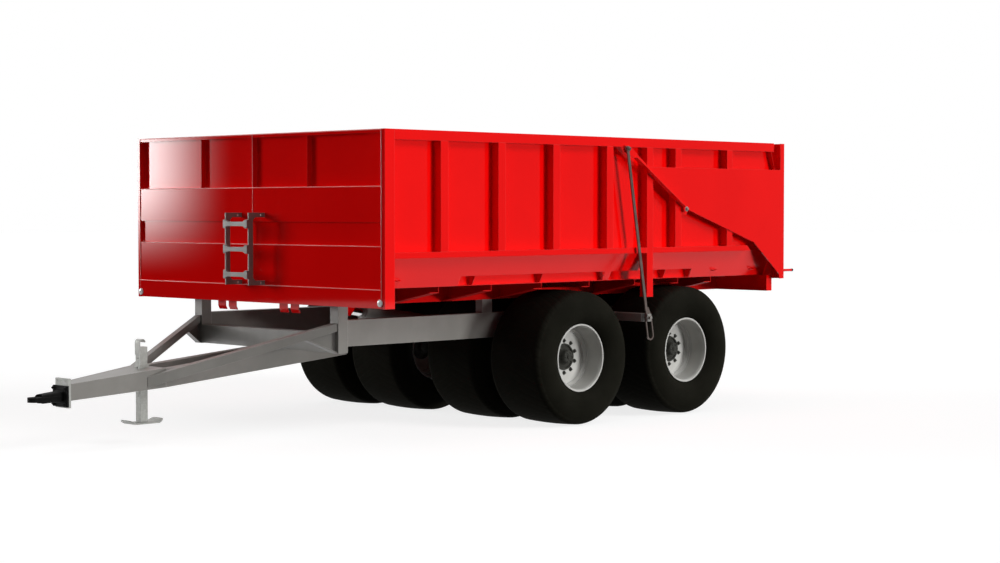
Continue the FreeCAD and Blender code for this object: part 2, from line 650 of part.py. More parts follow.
def tow_eye():
    """A cast towing eye with a flange, bolted to the drawbar plate."""
    back = DRAWBAR_PLATE_X + DRAWBAR_PLATE_THICKNESS
    face = back + EYE_FLANGE_THICKNESS
    eye_x = EYE_TIP_X - EYE_OUTER / 2
    half = EYE_FLANGE_WIDTH / 2
    flange = box(back, face, -half, half, EYE_FLANGE_BOTTOM, EYE_FLANGE_TOP)
    radius = EYE_OUTER / 2
    tall = EYE_NECK_HEIGHT / 2
    neck_z = EYE_Z + EYE_NECK_RISE
    neck = section(face, -radius, radius, neck_z - tall, neck_z + tall)
    neck_end = section(eye_x, -radius + 8, radius - 8, EYE_Z - tall + 8, EYE_Z + tall - 8)
    body = tapered(neck, neck_end)
    edges = [e for e in body.Edges if abs(e.tangentAt(e.FirstParameter).x) > 0.9]
    body = body.makeFillet(EYE_NECK_HEIGHT / 4, edges)
    room = cylinder(V(eye_x, 0, EYE_Z - EYE_NECK_HEIGHT), ALONG_Z, radius + 4, 2 * EYE_NECK_HEIGHT)
    thin = EYE_THICKNESS / 2
    ring = cylinder(V(eye_x, 0, EYE_Z - thin), ALONG_Z, radius, EYE_THICKNESS)
    root = box(face, eye_x, -radius, radius, EYE_Z - thin, EYE_Z + thin)
    bore = cylinder(V(eye_x, 0, EYE_Z - EYE_THICKNESS), ALONG_Z, EYE_BORE / 2, 2 * EYE_THICKNESS)
    write("tow_eye", fused(flange, body.cut(room), root, ring).cut(bore))


def jack_sleeve():
    """The square sleeve that the jack's leg slides in, with a hole for its pin."""
    inner = JACK_TUBE / 2 + JACK_SLEEVE_GAP
    outer = inner + JACK_SLEEVE_WALL
    x = JACK_X
    sleeve = box(x - outer, x + outer, -outer, outer, JACK_SLEEVE_BOTTOM, JACK_SLEEVE_TOP)
    bore = box(x - inner, x + inner, -inner, inner, JACK_SLEEVE_BOTTOM - 1, JACK_SLEEVE_TOP + 1)
    pin_z = JACK_HOLE_TOP - JACK_HOLE_PITCH
    hole = cylinder(V(x - outer - 1, 0, pin_z), ALONG_X, JACK_HOLE_DIAMETER / 2, 2 * outer + 2)
    return sleeve.cut(bore).cut(hole)


def jack_hook():
    """The strip on the jack's front face that curls back over its top as a handle."""
    face = JACK_X + JACK_TUBE / 2
    front = face + JACK_HOOK_SHEET
    half = JACK_TUBE / 2
    curl_x = front - JACK_HOOK_RADIUS
    curl_z = JACK_HOOK_TOP - JACK_HOOK_RADIUS
    strip = box(face, front, -half, half, JACK_HOOK_FOOT, curl_z)
    ring = cross_bar(curl_x, curl_z, JACK_HOOK_RADIUS, -half, half)
    ring = ring.cut(cross_bar(curl_x, curl_z, JACK_HOOK_RADIUS - JACK_HOOK_SHEET, -half - 1, half + 1))
    lower = box(curl_x - JACK_TUBE, curl_x + JACK_TUBE, -half - 1, half + 1, curl_z - JACK_TUBE, curl_z)
    return fused(strip, ring.cut(lower))


def jack():
    """The parking jack: a square tube on a foot, sliding in a sleeve through the drawbar."""
    write("jack_sleeve", jack_sleeve())
    half = JACK_TUBE / 2
    inner = half - JACK_TUBE_WALL
    x = JACK_X
    foot_top = JACK_FOOT_Z + JACK_FOOT_THICKNESS
    tube = box(x - half, x + half, -half, half, foot_top, JACK_TUBE_TOP)
    hollow = box(x - inner, x + inner, -inner, inner, foot_top, JACK_TUBE_TOP - JACK_TUBE_WALL)
    tube = tube.cut(hollow)
    for i in range(JACK_HOLE_COUNT):
        z = JACK_HOLE_TOP - i * JACK_HOLE_PITCH
        tube = tube.cut(cylinder(V(x - half - 1, 0, z), ALONG_X, JACK_HOLE_DIAMETER / 2, JACK_TUBE + 2))
    reach = JACK_FOOT_LENGTH / 2
    flat = reach - JACK_FOOT_TURN_UP
    low, high = JACK_FOOT_Z, JACK_FOOT_Z + JACK_FOOT_RISE
    foot_line = [(x - reach, high), (x - flat, low), (x + flat, low), (x + reach, high)]
    foot = plate_xz(folded(foot_line, JACK_FOOT_THICKNESS), -JACK_FOOT_WIDTH / 2, JACK_FOOT_WIDTH / 2)
    tall = high + 2 * JACK_FOOT_THICKNESS
    plan = box(x - reach - 1, x + reach + 1, -JACK_FOOT_WIDTH / 2, JACK_FOOT_WIDTH / 2, low - 1, tall)
    corners = [e for e in plan.Edges if abs(e.tangentAt(e.FirstParameter).z) > 0.9]
    write("jack_leg", fused(tube, foot.common(plan.makeFillet(JACK_FOOT_CORNER, corners)), jack_hook()))


# ---- body -----------------------------------------------------------------
def floor():
    """The floor sheet and the cross bearers under it."""
    front = BODY_FRONT - 2 * SHEET
    sheet = box(BODY_REAR, front, -SKIRT_FOOT_Y + SHEET, SKIRT_FOOT_Y - SHEET, FRAME_TOP, FLOOR_TOP)
    write("floor_sheet", sheet)
    bearers = []
    backs = [FLOOR_MEMBER_FIRST - i * FLOOR_MEMBER_PITCH for i in range(FLOOR_MEMBER_COUNT)]
    for back in backs + [FLOOR_MEMBER_LAST]:
        bearers.append(box(back, back + FLOOR_MEMBER_WIDTH, -BEAM_INNER_Y, BEAM_INNER_Y,
                           FRAME_TOP - FLOOR_MEMBER_DEPTH, FRAME_TOP))
        bearers += [outrigger(back), mirrored(outrigger(back))]
    write("floor_bearers", Part.makeCompound(bearers))


def tyre_top(rear, front):
    """The greatest height of a tyre between two places along the trailer, or 0 clear of the wheels."""
    radius = TYRE_DIAMETER / 2
    tops = [0]
    for axle in (-FRONT_AXLE_X, FRONT_AXLE_X):
        nearest = min(max(axle, rear), front) - axle
        if abs(nearest) < radius:
            tops.append(WHEEL_Z + math.sqrt(radius * radius - nearest * nearest))
    return max(tops)


def outrigger(back):
    """A tapered web from a subframe beam out to the floor's edge, with a flange along its foot."""
    inner = BEAM_OUTER_Y
    outer = SKIRT_FOOT_Y
    foot = FRAME_TOP - FLOOR_MEMBER_DEPTH
    root = max(SUBFRAME_BOTTOM, tyre_top(back, back + OUTRIGGER_FLANGE) + TYRE_CLEARANCE)
    web = [(inner, root), (inner, FRAME_TOP), (outer, FRAME_TOP), (outer, foot)]
    flange = [(inner, root), (outer, foot), (outer, foot + OUTRIGGER_SHEET), (inner, root + OUTRIGGER_SHEET)]
    return fused(plate_yz(web, back, back + OUTRIGGER_SHEET),
                 plate_yz(flange, back, back + OUTRIGGER_FLANGE))


def subframe():
    """Two long beams under the floor, with the ears of the tipping hinge."""
    front = BODY_FRONT - FRONT_STEP - SHEET
    rear = BODY_REAR + REAR_BEAM_LENGTH
    beam = box(rear, front, BEAM_INNER_Y, BEAM_OUTER_Y, SUBFRAME_BOTTOM, FRAME_TOP)
    solids = [beam]
    for y0, pad_y in ((BEAM_INNER_Y - SIDE_CLEARANCE - TIP_EAR_THICKNESS, BEAM_INNER_Y - SIDE_CLEARANCE),
                      (BEAM_OUTER_Y + SIDE_CLEARANCE, BEAM_OUTER_Y)):
        ear = plate_xz([
            (TIP_HINGE_X - 150, SUBFRAME_BOTTOM + 60), (TIP_HINGE_X + 150, SUBFRAME_BOTTOM + 60),
            (TIP_HINGE_X + 60, TIP_HINGE_Z - 40), (TIP_HINGE_X + 35, TIP_HINGE_Z - 65),
            (TIP_HINGE_X - 35, TIP_HINGE_Z - 65), (TIP_HINGE_X - 60, TIP_HINGE_Z - 40)],
            y0, y0 + TIP_EAR_THICKNESS)
        hole = cross_bar(TIP_HINGE_X, TIP_HINGE_Z, TIP_SHAFT_RADIUS + SHAFT_CLEARANCE,
                         y0 - 1, y0 + TIP_EAR_THICKNESS + 1)
        pad = box(TIP_HINGE_X - 150, TIP_HINGE_X + 150, pad_y, pad_y + SIDE_CLEARANCE,
                  SUBFRAME_BOTTOM, SUBFRAME_BOTTOM + 60)
        solids.append(fused(ear.cut(hole), pad))
    write("subframe_beams", pair(Part.makeCompound(solids)))
    rear_beam = box(BODY_REAR, rear, -WALL_OUTER_Y, WALL_OUTER_Y, SUBFRAME_BOTTOM, FRAME_TOP)
    write("rear_beam", rear_beam)


def side_walls():
    """The flat side sheets and the slanted sheets below them."""
    front = BODY_FRONT - FRONT_RECESS - SHEET
    sheet = plate_xz([(BODY_REAR, LOWER_RAIL_BOTTOM), (front, LOWER_RAIL_BOTTOM), (front, BODY_TOP),
                      (REAR_TOP_X, BODY_TOP), (BODY_REAR, REAR_CORNER_Z)],
                     WALL_INNER_Y, WALL_OUTER_Y)
    write("side_sheets", pair(sheet))
    write("side_skirts", pair(Part.makeCompound(skirt())))


def skirt():
    """The slanted sheets below one side, the middle one stepped inward over the wheels."""
    share = (STEP_TOP - FRAME_TOP) / (LOWER_RAIL_BOTTOM - FRAME_TOP)
    step_y = between(SKIRT_FOOT_Y, WALL_OUTER_Y, share)
    plain = [(SKIRT_FOOT_Y, FRAME_TOP), (WALL_OUTER_Y, LOWER_RAIL_BOTTOM),
             (WALL_INNER_Y, LOWER_RAIL_BOTTOM), (SKIRT_FOOT_Y - SHEET, FRAME_TOP)]
    stepped = folded([(STEP_INNER_Y, FLOOR_TOP), (STEP_INNER_Y, STEP_TOP), (step_y, STEP_TOP),
                      (WALL_OUTER_Y, LOWER_RAIL_BOTTOM)], SHEET)
    fill = [(STEP_INNER_Y, FLOOR_TOP), (SKIRT_FOOT_Y, FLOOR_TOP), (step_y, STEP_TOP),
            (STEP_INNER_Y, STEP_TOP)]
    above = box(STEP_REAR, STEP_FRONT, 0, BODY_HALF_WIDTH, LOWER_RAIL_BOTTOM, BODY_TOP)
    plate = [(SKIRT_FOOT_Y, FLOOR_TOP), (step_y, STEP_TOP), (step_y - SHEET, STEP_TOP),
             (SKIRT_FOOT_Y - SHEET, FLOOR_TOP)]
    middle = [plate_yz(stepped, STEP_REAR, STEP_FRONT).cut(above)]
    for x in STEP_GUSSETS + (STEP_REAR, STEP_FRONT - SHEET):
        middle.append(plate_yz(fill, x, x + SHEET))
    middle.append(plate_yz(plate, STEP_PLATE_REAR, STEP_PLATE_REAR + STEP_PLATE_LENGTH))
    return [plate_yz(plain, BODY_REAR, STEP_REAR), fused(*middle),
            plate_yz(plain, STEP_FRONT, BODY_FRONT - FRONT_STEP)]


def channel(x_front, width, z0, z1):
    """An upright folded channel welded to the outside of the side sheet."""
    inner = WALL_OUTER_Y
    outer = BODY_HALF_WIDTH
    x_rear = x_front - width
    outline = [(x_rear, inner), (x_rear, outer), (x_front, outer), (x_front, inner),
               (x_front - SHEET, inner), (x_front - SHEET, outer - SHEET),
               (x_rear + SHEET, outer - SHEET), (x_rear + SHEET, inner)]
    return plate_xy(outline, z0, z1)


def side_ribs():
    """The upright channels along the sides, one reaching below the floor, and the rear flange."""
    ribs = []
    for x in RIB_FRONTS:
        ribs.append(channel(x, RIB_WIDTH, LOWER_RAIL_TOP, RAIL_BOTTOM))
    ribs.append(channel(LONG_RIB_FRONT, RIB_WIDTH, SUBFRAME_BOTTOM, RAIL_BOTTOM))
    edge = [(REAR_TOP_X, RAIL_BOTTOM), (BODY_REAR, REAR_CORNER_Z), (BODY_REAR, LOWER_RAIL_BOTTOM)]
    ribs.append(plate_xz(folded(edge, SHEET), WALL_OUTER_Y, WALL_OUTER_Y + REAR_FLANGE_WIDTH))
    write("side_ribs_left", Part.makeCompound(ribs))
    write("side_ribs_right", mirrored(Part.makeCompound(ribs)))


def rails():
    """The top rails and the lower rails along the sides."""
    top = box(REAR_TOP_X, CORNER_POST_REAR, WALL_OUTER_Y, BODY_HALF_WIDTH, RAIL_BOTTOM, BODY_TOP)
    write("top_rails", pair(top))
    front = box(LONG_RIB_FRONT, CORNER_POST_REAR, WALL_OUTER_Y, BODY_HALF_WIDTH,
                LOWER_RAIL_BOTTOM, LOWER_RAIL_TOP)
    rib_rear = LONG_RIB_FRONT - RIB_WIDTH
    rear = plate_xz([(rib_rear, LOWER_RAIL_BOTTOM), (rib_rear, LOWER_RAIL_TOP),
                     (LOWER_RAIL_REAR + 60, LOWER_RAIL_TOP), (LOWER_RAIL_REAR, LOWER_RAIL_BOTTOM)],
                    WALL_OUTER_Y, BODY_HALF_WIDTH)
    write("lower_rails", Part.makeCompound([front, rear, mirrored(front), mirrored(rear)]))


def front_end():
    """The folded front wall, its frame, the corner posts and the tabs under it."""
    edge = BODY_HALF_WIDTH - CORNER_POST_WIDTH
    face = BODY_FRONT
    step_foot = FRONT_BAND_TOP - FRONT_STEP_SLOPE
    line = [(face - FRONT_STEP, FRONT_BOTTOM), (face - FRONT_STEP, step_foot),
            (face, FRONT_BAND_TOP), (face, FRONT_LOW_TOP), (face - FRONT_MID_STEP, FRONT_LOW_TOP),
            (face - FRONT_MID_STEP, FRONT_MID_BOTTOM), (face, FRONT_MID_BOTTOM), (face, FRONT_ROW_BOTTOM),
            (face - FRONT_RECESS, FRONT_ROW_BOTTOM), (face - FRONT_RECESS, BODY_TOP)]
    wall = plate_xz(folded(line, SHEET), -edge, edge)
    fins = []
    for y in (-FRONT_FIN_SPACING, 0, FRONT_FIN_SPACING):
        fins.append(box(face - FRONT_RECESS, face, y - FRONT_FIN_SHEET / 2, y + FRONT_FIN_SHEET / 2,
                        FRONT_ROW_BOTTOM, BODY_TOP - FRONT_TOP_LIP))
    seam = box(face, face + FRONT_SEAM_PROUD, -FRONT_FIN_SHEET / 2, FRONT_FIN_SHEET / 2,
               LADDER_TOP, FRONT_ROW_BOTTOM)
    write("front_wall", fused(wall, seam, *fins))
    lip = box(face - FRONT_RECESS, face, -edge, edge, BODY_TOP - FRONT_TOP_LIP, BODY_TOP)
    proud = face + FRONT_BAND_PROUD
    band = plate_xz([(face - FRONT_STEP, FRONT_BOTTOM), (proud, FRONT_BOTTOM), (proud, FRONT_BAND_TOP),
                     (face, FRONT_BAND_TOP), (face - FRONT_STEP, step_foot)], -edge, edge)
    write("front_frame", Part.makeCompound([lip, band]))
    post = box(CORNER_POST_REAR, BODY_FRONT, edge, BODY_HALF_WIDTH, SUBFRAME_BOTTOM, BODY_TOP)
    inner = box(CORNER_POST_REAR, CORNER_POST_REAR + SHEET, WALL_OUTER_Y, edge, LOWER_RAIL_BOTTOM, BODY_TOP)
    write("corner_posts", pair(fused(post, inner)))
    back = face - FRONT_STEP - SHEET - TAB_SHEET
    tabs = []
    for side in (-1, 1):
        for centre in (-1, 1):
            y = side * TAB_PAIR_Y + centre * (TAB_WIDTH + TAB_GAP) / 2
            line = [(back, SUBFRAME_BOTTOM + 60), (back, TAB_BOTTOM + 35), (back - 17, TAB_BOTTOM)]
            tabs.append(plate_xz(folded(line, TAB_SHEET), y - TAB_WIDTH / 2, y + TAB_WIDTH / 2))
    write("front_tabs", Part.makeCompound(tabs))


def ladder_rail():
    """One C-shaped plate of the ladder, in the plane y = 0, with its two legs to the front wall."""
    wall = BODY_FRONT
    back = wall + LADDER_STANDOFF
    front = back + LADDER_RAIL_DEPTH
    low = LADDER_BOTTOM + LADDER_LEG_HEIGHT
    high = LADDER_TOP - LADDER_LEG_HEIGHT
    flare = LADDER_LEG_FLARE
    plate = plate_xz([
        (wall, LADDER_TOP), (front, LADDER_TOP), (front, LADDER_BOTTOM), (wall, LADDER_BOTTOM), (wall, low),
        (back - flare, low), (back, low + flare), (back, high - flare), (back - flare, high), (wall, high)],
        0, LADDER_PLATE)
    for z in (LADDER_BOTTOM + LADDER_LEG_HEIGHT / 2, LADDER_TOP - LADDER_LEG_HEIGHT / 2):
        hole = cross_bar(wall + LADDER_HOLE_OFFSET, z, LADDER_HOLE_DIAMETER / 2, -1, LADDER_PLATE + 1)
        plate = plate.cut(hole)
    return plate


def rung(z):
    """One rung across the front of the rails, with deeper ends."""
    start = BODY_FRONT + LADDER_STANDOFF + LADDER_RAIL_DEPTH
    end = LADDER_WIDTH / 2
    plain = end - RUNG_FLARE_LENGTH
    deep = RUNG_END_HEIGHT / 2
    low = RUNG_HEIGHT / 2
    upper = [(-end, deep), (-end + RUNG_END_LENGTH, deep), (-plain, low), (plain, low),
             (end - RUNG_END_LENGTH, deep), (end, deep)]
    outline = upper + [(y, -height) for y, height in upper[::-1]]
    return plate_yz([(y, z + height) for y, height in outline], start, start + RUNG_DEPTH)


def ladder():
    """A short ladder standing off the front wall."""
    rail = ladder_rail()
    rail.translate(V(0, LADDER_WIDTH / 2 - LADDER_PLATE, 0))
    rungs = [rung(RUNG_LOWEST + i * RUNG_PITCH) for i in range(RUNG_COUNT)]
    write("ladder", fused(rail, mirrored(rail), *rungs))


def cylinder_cheeks():
    """Two cheeks under the floor that the tipping cylinder's eye lies between."""
    inner = CYLINDER_EYE_WIDTH / 2 + SIDE_CLEARANCE
    x = CYLINDER_EYE_X
    cheek = plate_xz([(x - 260, FRAME_TOP), (x + 120, FRAME_TOP), (x + 60, CYLINDER_EYE_Z - 30),
                      (x + 25, CYLINDER_EYE_Z - 65), (x - 25, CYLINDER_EYE_Z - 65),
                      (x - 60, CYLINDER_EYE_Z - 30)], inner, inner + CHEEK_THICKNESS)
    write("cylinder_cheeks", pair(cheek))


# ---- tailgate -------------------------------------------------------------
def gate_outline():
    """The side plate's outline: the rear post, the lower edge, the lever arm and the top edge."""
    arm_x = ROD_TOP_X
    arm_z = ROD_TOP_Z
    return [(GATE_SKIN_X, GATE_TOP), (GATE_SKIN_X, GATE_FOOT), (GATE_PLATE_REAR, GATE_FOOT),
            (GATE_PLATE_REAR + 19, GATE_BOTTOM), (GATE_STEP_X, GATE_STEP_Z), GATE_KINK,
            (arm_x - 130, arm_z - 95),
            (arm_x + 10, arm_z - 40), (arm_x + 42, arm_z), (arm_x + 15, arm_z + 38),
            (arm_x - 60, arm_z + 30), (GATE_TOP_FRONT, GATE_SIDE_TOP), (GATE_PLATE_REAR, GATE_SIDE_TOP),
            (GATE_PLATE_REAR, GATE_TOP)]


def gate():
    """The tailgate: side plates with lever arms, the rear panel and its pins."""
    pivot = cross_bar(GATE_PIVOT_X, GATE_PIVOT_Z, GATE_PIVOT_RADIUS + SHAFT_CLEARANCE,
                      GATE_SIDE_Y - 1, GATE_OUTER_Y + 1)
    plate = plate_xz(gate_outline(), GATE_SIDE_Y, GATE_OUTER_Y).cut(pivot)
    lip_end = (ROD_TOP_X - 130, ROD_TOP_Z - 95)
    lip = plate_xz(folded([GATE_KINK, lip_end], GATE_SHEET), GATE_OUTER_Y, GATE_OUTER_Y + GATE_LIP)
    stub = cross_bar(ROD_TOP_X, ROD_TOP_Z, ROD_TOP_PIN_RADIUS, GATE_OUTER_Y, ROD_Y + ROD_RADIUS + 12)
    side = fused(plate, lip, stub)
    write("gate_side_left", side)
    write("gate_side_right", mirrored(side))
    half = WALL_INNER_Y - 8
    panel = box(GATE_PLATE_REAR - GATE_SHEET, GATE_PLATE_REAR, -half, half, GATE_FOOT, GATE_TOP)
    edge = box(GATE_REAR, GATE_SKIN_X, half - GATE_BAR, GATE_OUTER_Y, GATE_FOOT, GATE_TOP)
    write("gate_panel", panel)
    write("gate_edges", pair(edge))
    bars = []
    for z in (GATE_FOOT, GATE_PIVOT_Z - 50, GATE_TOP - GATE_BAR):
        bars.append(box(GATE_SKIN_X, GATE_PLATE_REAR - GATE_SHEET, -half, half, z, z + GATE_BAR))
    for y in (-half, -half / 3 - GATE_BAR / 2, half / 3 - GATE_BAR / 2, half - GATE_BAR):
        bars.append(box(GATE_SKIN_X, GATE_PLATE_REAR - GATE_SHEET, y, y + GATE_BAR, GATE_FOOT, GATE_TOP))
    pins = [cylinder(V(GATE_REAR, y, GATE_PIN_Z), V(-1, 0, 0), GATE_PIN_RADIUS, GATE_PIN_LENGTH)
            for y in (GATE_PIN_INSET - BODY_HALF_WIDTH, BODY_HALF_WIDTH - GATE_PIN_INSET)]
    write("gate_frame", fused(*bars))
    write("gate_pins", Part.makeCompound(pins))


def gate_pivots():
    """Bosses on the side ribs that the tailgate swings on."""
    shaft = cross_bar(GATE_PIVOT_X, GATE_PIVOT_Z, GATE_PIVOT_RADIUS, BODY_HALF_WIDTH, GATE_OUTER_Y + 20)
    mount = box(GATE_PIVOT_X - 60, GATE_PIVOT_X + 60, WALL_OUTER_Y, BODY_HALF_WIDTH,
                GATE_PIVOT_Z - 60, GATE_PIVOT_Z + 60)
    head = cross_bar(GATE_PIVOT_X, GATE_PIVOT_Z, GATE_PIVOT_RADIUS + 12, GATE_OUTER_Y + 5, GATE_OUTER_Y + 22)
    rib = box(PIVOT_RIB_FRONT - RIB_WIDTH, PIVOT_RIB_FRONT, WALL_OUTER_Y, BODY_HALF_WIDTH,
              LOWER_RAIL_TOP, RAIL_BOTTOM)
    write("gate_pivots", pair(fused(mount.cut(rib), shaft, head)))


def rounded_bar(x, z0, z1, half, y0, y1):
    """An upright bar with round ends, between two y planes."""
    low = z0 + half
    high = z1 - half
    sides = [Part.LineSegment(V(x + side * half, y0, low), V(x + side * half, y0, high)).toShape()
             for side in (-1, 1)]
    ends = [Part.Arc(V(x - half, y0, z), V(x, y0, tip), V(x + half, y0, z)).toShape()
            for z, tip in ((low, z0), (high, z1))]
    wire = Part.Wire(Part.__sortEdges__(sides + ends))
    return Part.Face(wire).extrude(V(0, y1 - y0, 0))


def gate_rods():
    """Rods from the tailgate's lever arms down to the slotted loops on the chassis pins."""
    top = V(ROD_TOP_X, ROD_Y, ROD_TOP_Z)
    foot = V(ROD_FOOT_X, ROD_Y, ROD_FOOT_Z)
    down = foot - top
    reach = down.Length
    # drawn upright: the rod's top eye at the origin and its loop straight below
    shaft_end = reach - ROD_FOOT_PIN_RADIUS - SIDE_CLEARANCE - 60
    rod = cylinder(V(0, 0, -shaft_end), ALONG_Z, ROD_RADIUS, shaft_end - 20)
    eye = cylinder(V(0, -12, 0), ALONG_Y, 30, 24)
    half = ROD_SLOT_WIDTH / 2
    slot_top = -reach + ROD_FOOT_PIN_RADIUS + ROD_SLOT_SPARE
    slot_bottom = -reach - ROD_SLOT_TRAVEL - ROD_FOOT_PIN_RADIUS - ROD_SLOT_SPARE
    thick = ROD_LOOP_THICKNESS / 2
    c = ROD_SLOT_OFFSET
    outer = half + ROD_LOOP_BAR
    neck = plate_xz([(c - outer, slot_top - half), (c - ROD_RADIUS, slot_top + 75),
                     (c + ROD_RADIUS, slot_top + 75), (c + outer, slot_top - half)], -thick, thick)
    loop = rounded_bar(c, slot_bottom - ROD_LOOP_BAR, slot_top + ROD_LOOP_BAR, outer, -thick, thick)
    slot = rounded_bar(c, slot_bottom, slot_top, half, -thick - 1, thick + 1)
    bore = cylinder(V(0, -13, 0), ALONG_Y, ROD_TOP_PIN_RADIUS + SHAFT_CLEARANCE, 26)
    upright = fused(rod, eye, fused(loop, neck).cut(slot)).cut(bore)
    lean = math.degrees(math.atan2(down.x, -down.z))
    upright.rotate(V(0, 0, 0), ALONG_Y, -lean)
    upright.translate(top)
    write("gate_rod_left", upright)
    write("gate_rod_right", mirrored(upright))


# ---- tipping cylinder -----------------------------------------------------
def tipping_cylinder():
    """The cylinder between the chassis and the body, drawn along its own line."""
    base = V(CYLINDER_BASE_X, 0, CYLINDER_BASE_Z)
    eye = V(CYLINDER_EYE_X, 0, CYLINDER_EYE_Z)
    line = eye - base
    length = line.Length
    line.normalize()
    half = CYLINDER_EYE_WIDTH / 2
    pin_half = CYLINDER_BASE_WIDTH / 2 + SIDE_CLEARANCE + CHEEK_THICKNESS + 8
    tube_start = CYLINDER_EYE_RADIUS - 10
    tube_end = length - CYLINDER_ROD_SHOWN
    tube = cylinder(base + line * tube_start, line, CYLINDER_RADIUS, tube_end - tube_start)
    bore = cylinder(base + line * (tube_start + 40), line, CYLINDER_ROD_RADIUS + SHAFT_CLEARANCE, length)
    base_half = CYLINDER_BASE_WIDTH / 2
    base_eye = cross_bar(base.x, base.z, CYLINDER_EYE_RADIUS, -base_half, base_half)
    base_pin = cross_bar(base.x, base.z, CYLINDER_PIN_RADIUS, -pin_half, pin_half)
    write("cylinder_barrel", fused(tube.cut(bore), base_eye.cut(bore), base_pin))
    rod = cylinder(base + line * (tube_start + 60), line, CYLINDER_ROD_RADIUS, length - tube_start - 60)
    rod_eye = cross_bar(eye.x, eye.z, CYLINDER_EYE_RADIUS, -half, half)
    write("cylinder_rod", fused(rod, rod_eye))


def main():
    os.makedirs("parts", exist_ok=True)
    wheels()
    side_beams()
    body_posts()
    cross_members()
    bogies()
    rod_arms()
    tip_shafts()
    drawbar()
    drawbar_plate()
    tow_eye()
    jack()
    floor()
    subframe()
    side_walls()
    side_ribs()
    rails()
    front_end()
    ladder()
    cylinder_cheeks()
    gate()
    gate_pivots()
    gate_rods()
    tipping_cylinder()


main()
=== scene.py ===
"""The peat wagon's looks: finishes, small details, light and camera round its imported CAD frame."""
import json
import math

import bmesh
import bpy
from mathutils import Matrix, Vector


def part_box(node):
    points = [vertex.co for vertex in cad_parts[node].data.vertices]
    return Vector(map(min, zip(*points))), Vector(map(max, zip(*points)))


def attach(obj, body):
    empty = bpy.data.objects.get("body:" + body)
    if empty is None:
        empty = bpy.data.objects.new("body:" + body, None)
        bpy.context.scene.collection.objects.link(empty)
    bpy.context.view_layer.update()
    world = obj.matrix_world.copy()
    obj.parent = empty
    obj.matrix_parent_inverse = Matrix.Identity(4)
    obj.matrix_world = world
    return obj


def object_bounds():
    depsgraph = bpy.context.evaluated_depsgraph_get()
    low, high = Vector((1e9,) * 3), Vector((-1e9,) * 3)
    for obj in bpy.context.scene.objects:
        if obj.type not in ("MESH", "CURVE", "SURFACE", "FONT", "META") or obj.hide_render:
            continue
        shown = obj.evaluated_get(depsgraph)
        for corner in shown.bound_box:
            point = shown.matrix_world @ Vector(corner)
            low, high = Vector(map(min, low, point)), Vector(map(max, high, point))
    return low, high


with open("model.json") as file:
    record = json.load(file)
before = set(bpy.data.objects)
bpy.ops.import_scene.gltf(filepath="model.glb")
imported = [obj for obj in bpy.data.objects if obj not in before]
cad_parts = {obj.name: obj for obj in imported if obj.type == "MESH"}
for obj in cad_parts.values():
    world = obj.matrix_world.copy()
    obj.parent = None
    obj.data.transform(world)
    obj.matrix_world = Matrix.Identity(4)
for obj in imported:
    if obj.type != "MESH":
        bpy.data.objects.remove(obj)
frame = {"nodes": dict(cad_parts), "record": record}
cad_low, cad_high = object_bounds()
nodes = frame["nodes"]


def centre(node):
    low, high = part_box(node)
    return (low + high) / 2


# ---- places taken from the frame -------------------------------------------
TYRE_HALF_WIDTH = 0.39  # written here, as the frame's box holds a pair of tyres
BOGIE_X = (centre("hub_front_left").x + centre("hub_rear_left").x) / 2
AXLE_BASE = centre("hub_front_left").x - centre("hub_rear_left").x
TYRE_RADIUS = centre("hub_front_left").z
TWIN_CENTRE = centre("hub_front_left").y
TYRE_CENTRE_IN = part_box("tyres_front_left")[0].y + TYRE_HALF_WIDTH

# ---- finishes --------------------------------------------------------------
BEVEL_SAMPLES = 6
RED_COAT_IOR = 1.36
SKIRT_COAT_ROUGHNESS = 0.22
# Painted highlight: the lighter red that the red paint takes along its edges.
RED_EDGE_HIGHLIGHT = (0.9, 0.05, 0.045)
TREAD_BLOCKS = 44
TREAD_SLANT = 5.0
TREAD_GAP = (0.34, 0.38)
SHOULDER = (0.06, 0.035)
WALL_RING_RADIUS = 0.47
WALL_RING_REACH = (0.03, 0.025)
WALL_RING_PITCH = 900.0
WALL_RING_SHARE = 0.15

# ---- small pieces: sizes and places beside the frame's own -----------------
# An outline is a row of (height along the axis, radius) pairs.
SIDES = (("left", 1), ("right", -1))
SHARP_ANGLE = 35
STUD_COUNT = 10
STUD_CIRCLE = 0.1675
STUD_END = 0.010
NUT_ACROSS = 0.024
DISC_DEPTH = 0.238
CAP_BOLTS = 6
CAP_BOLT_ACROSS = 0.013
CAP_CIRCLE = 0.05
GREASE_CAP = ((0, 0.026), (0.008, 0.026), (0.013, 0.018), (0.015, 0.006))
VALVE_CIRCLE = 0.225
VALVE = ((0, 0.009), (0.012, 0.009), (0.014, 0.006), (0.05, 0.006), (0.052, 0.0045))
REFLECTOR_Y = 1.912
REFLECTOR_Z = 1.355
LENS_DEPTH = 0.011
LENS = ((0, 0.034), (0.007, 0.034), (0.010, 0.030), (LENS_DEPTH, 0.012))
LENS_SCREW = ((0, 0.012), (0.002, 0.012), (0.004, 0.008))
FOLD_ZS = (1.478, 1.881, 2.443)
BEAD_RADIUS = 0.0045
BEAD_INSET = 0.006
BEAD_PROBE_DROP = 0.01
EYE_XS = (3.31, -1.43, -2.1)
EYE_Z = 1.555
EYE_HALF_WIDTH = 0.032
EYE_REACH = 0.045
EYE_RISE = 0.012
EYE_BAR_RADIUS = 0.006
EYE_BOLT_INSET = 0.024
EYE_BOLT_ACROSS = 0.026
EYE_BOLT_END = 0.008
ROD_EYE_RADIUS = 0.03
PIVOT_BOLT_ACROSS = 0.028
PIN_NUT_ACROSS = 0.034
PIN_NUT_GAP = 0.004
SLEEVE_LENGTH = 0.025
SLEEVE_LIP = 0.002
SLEEVE_WALL = 0.001

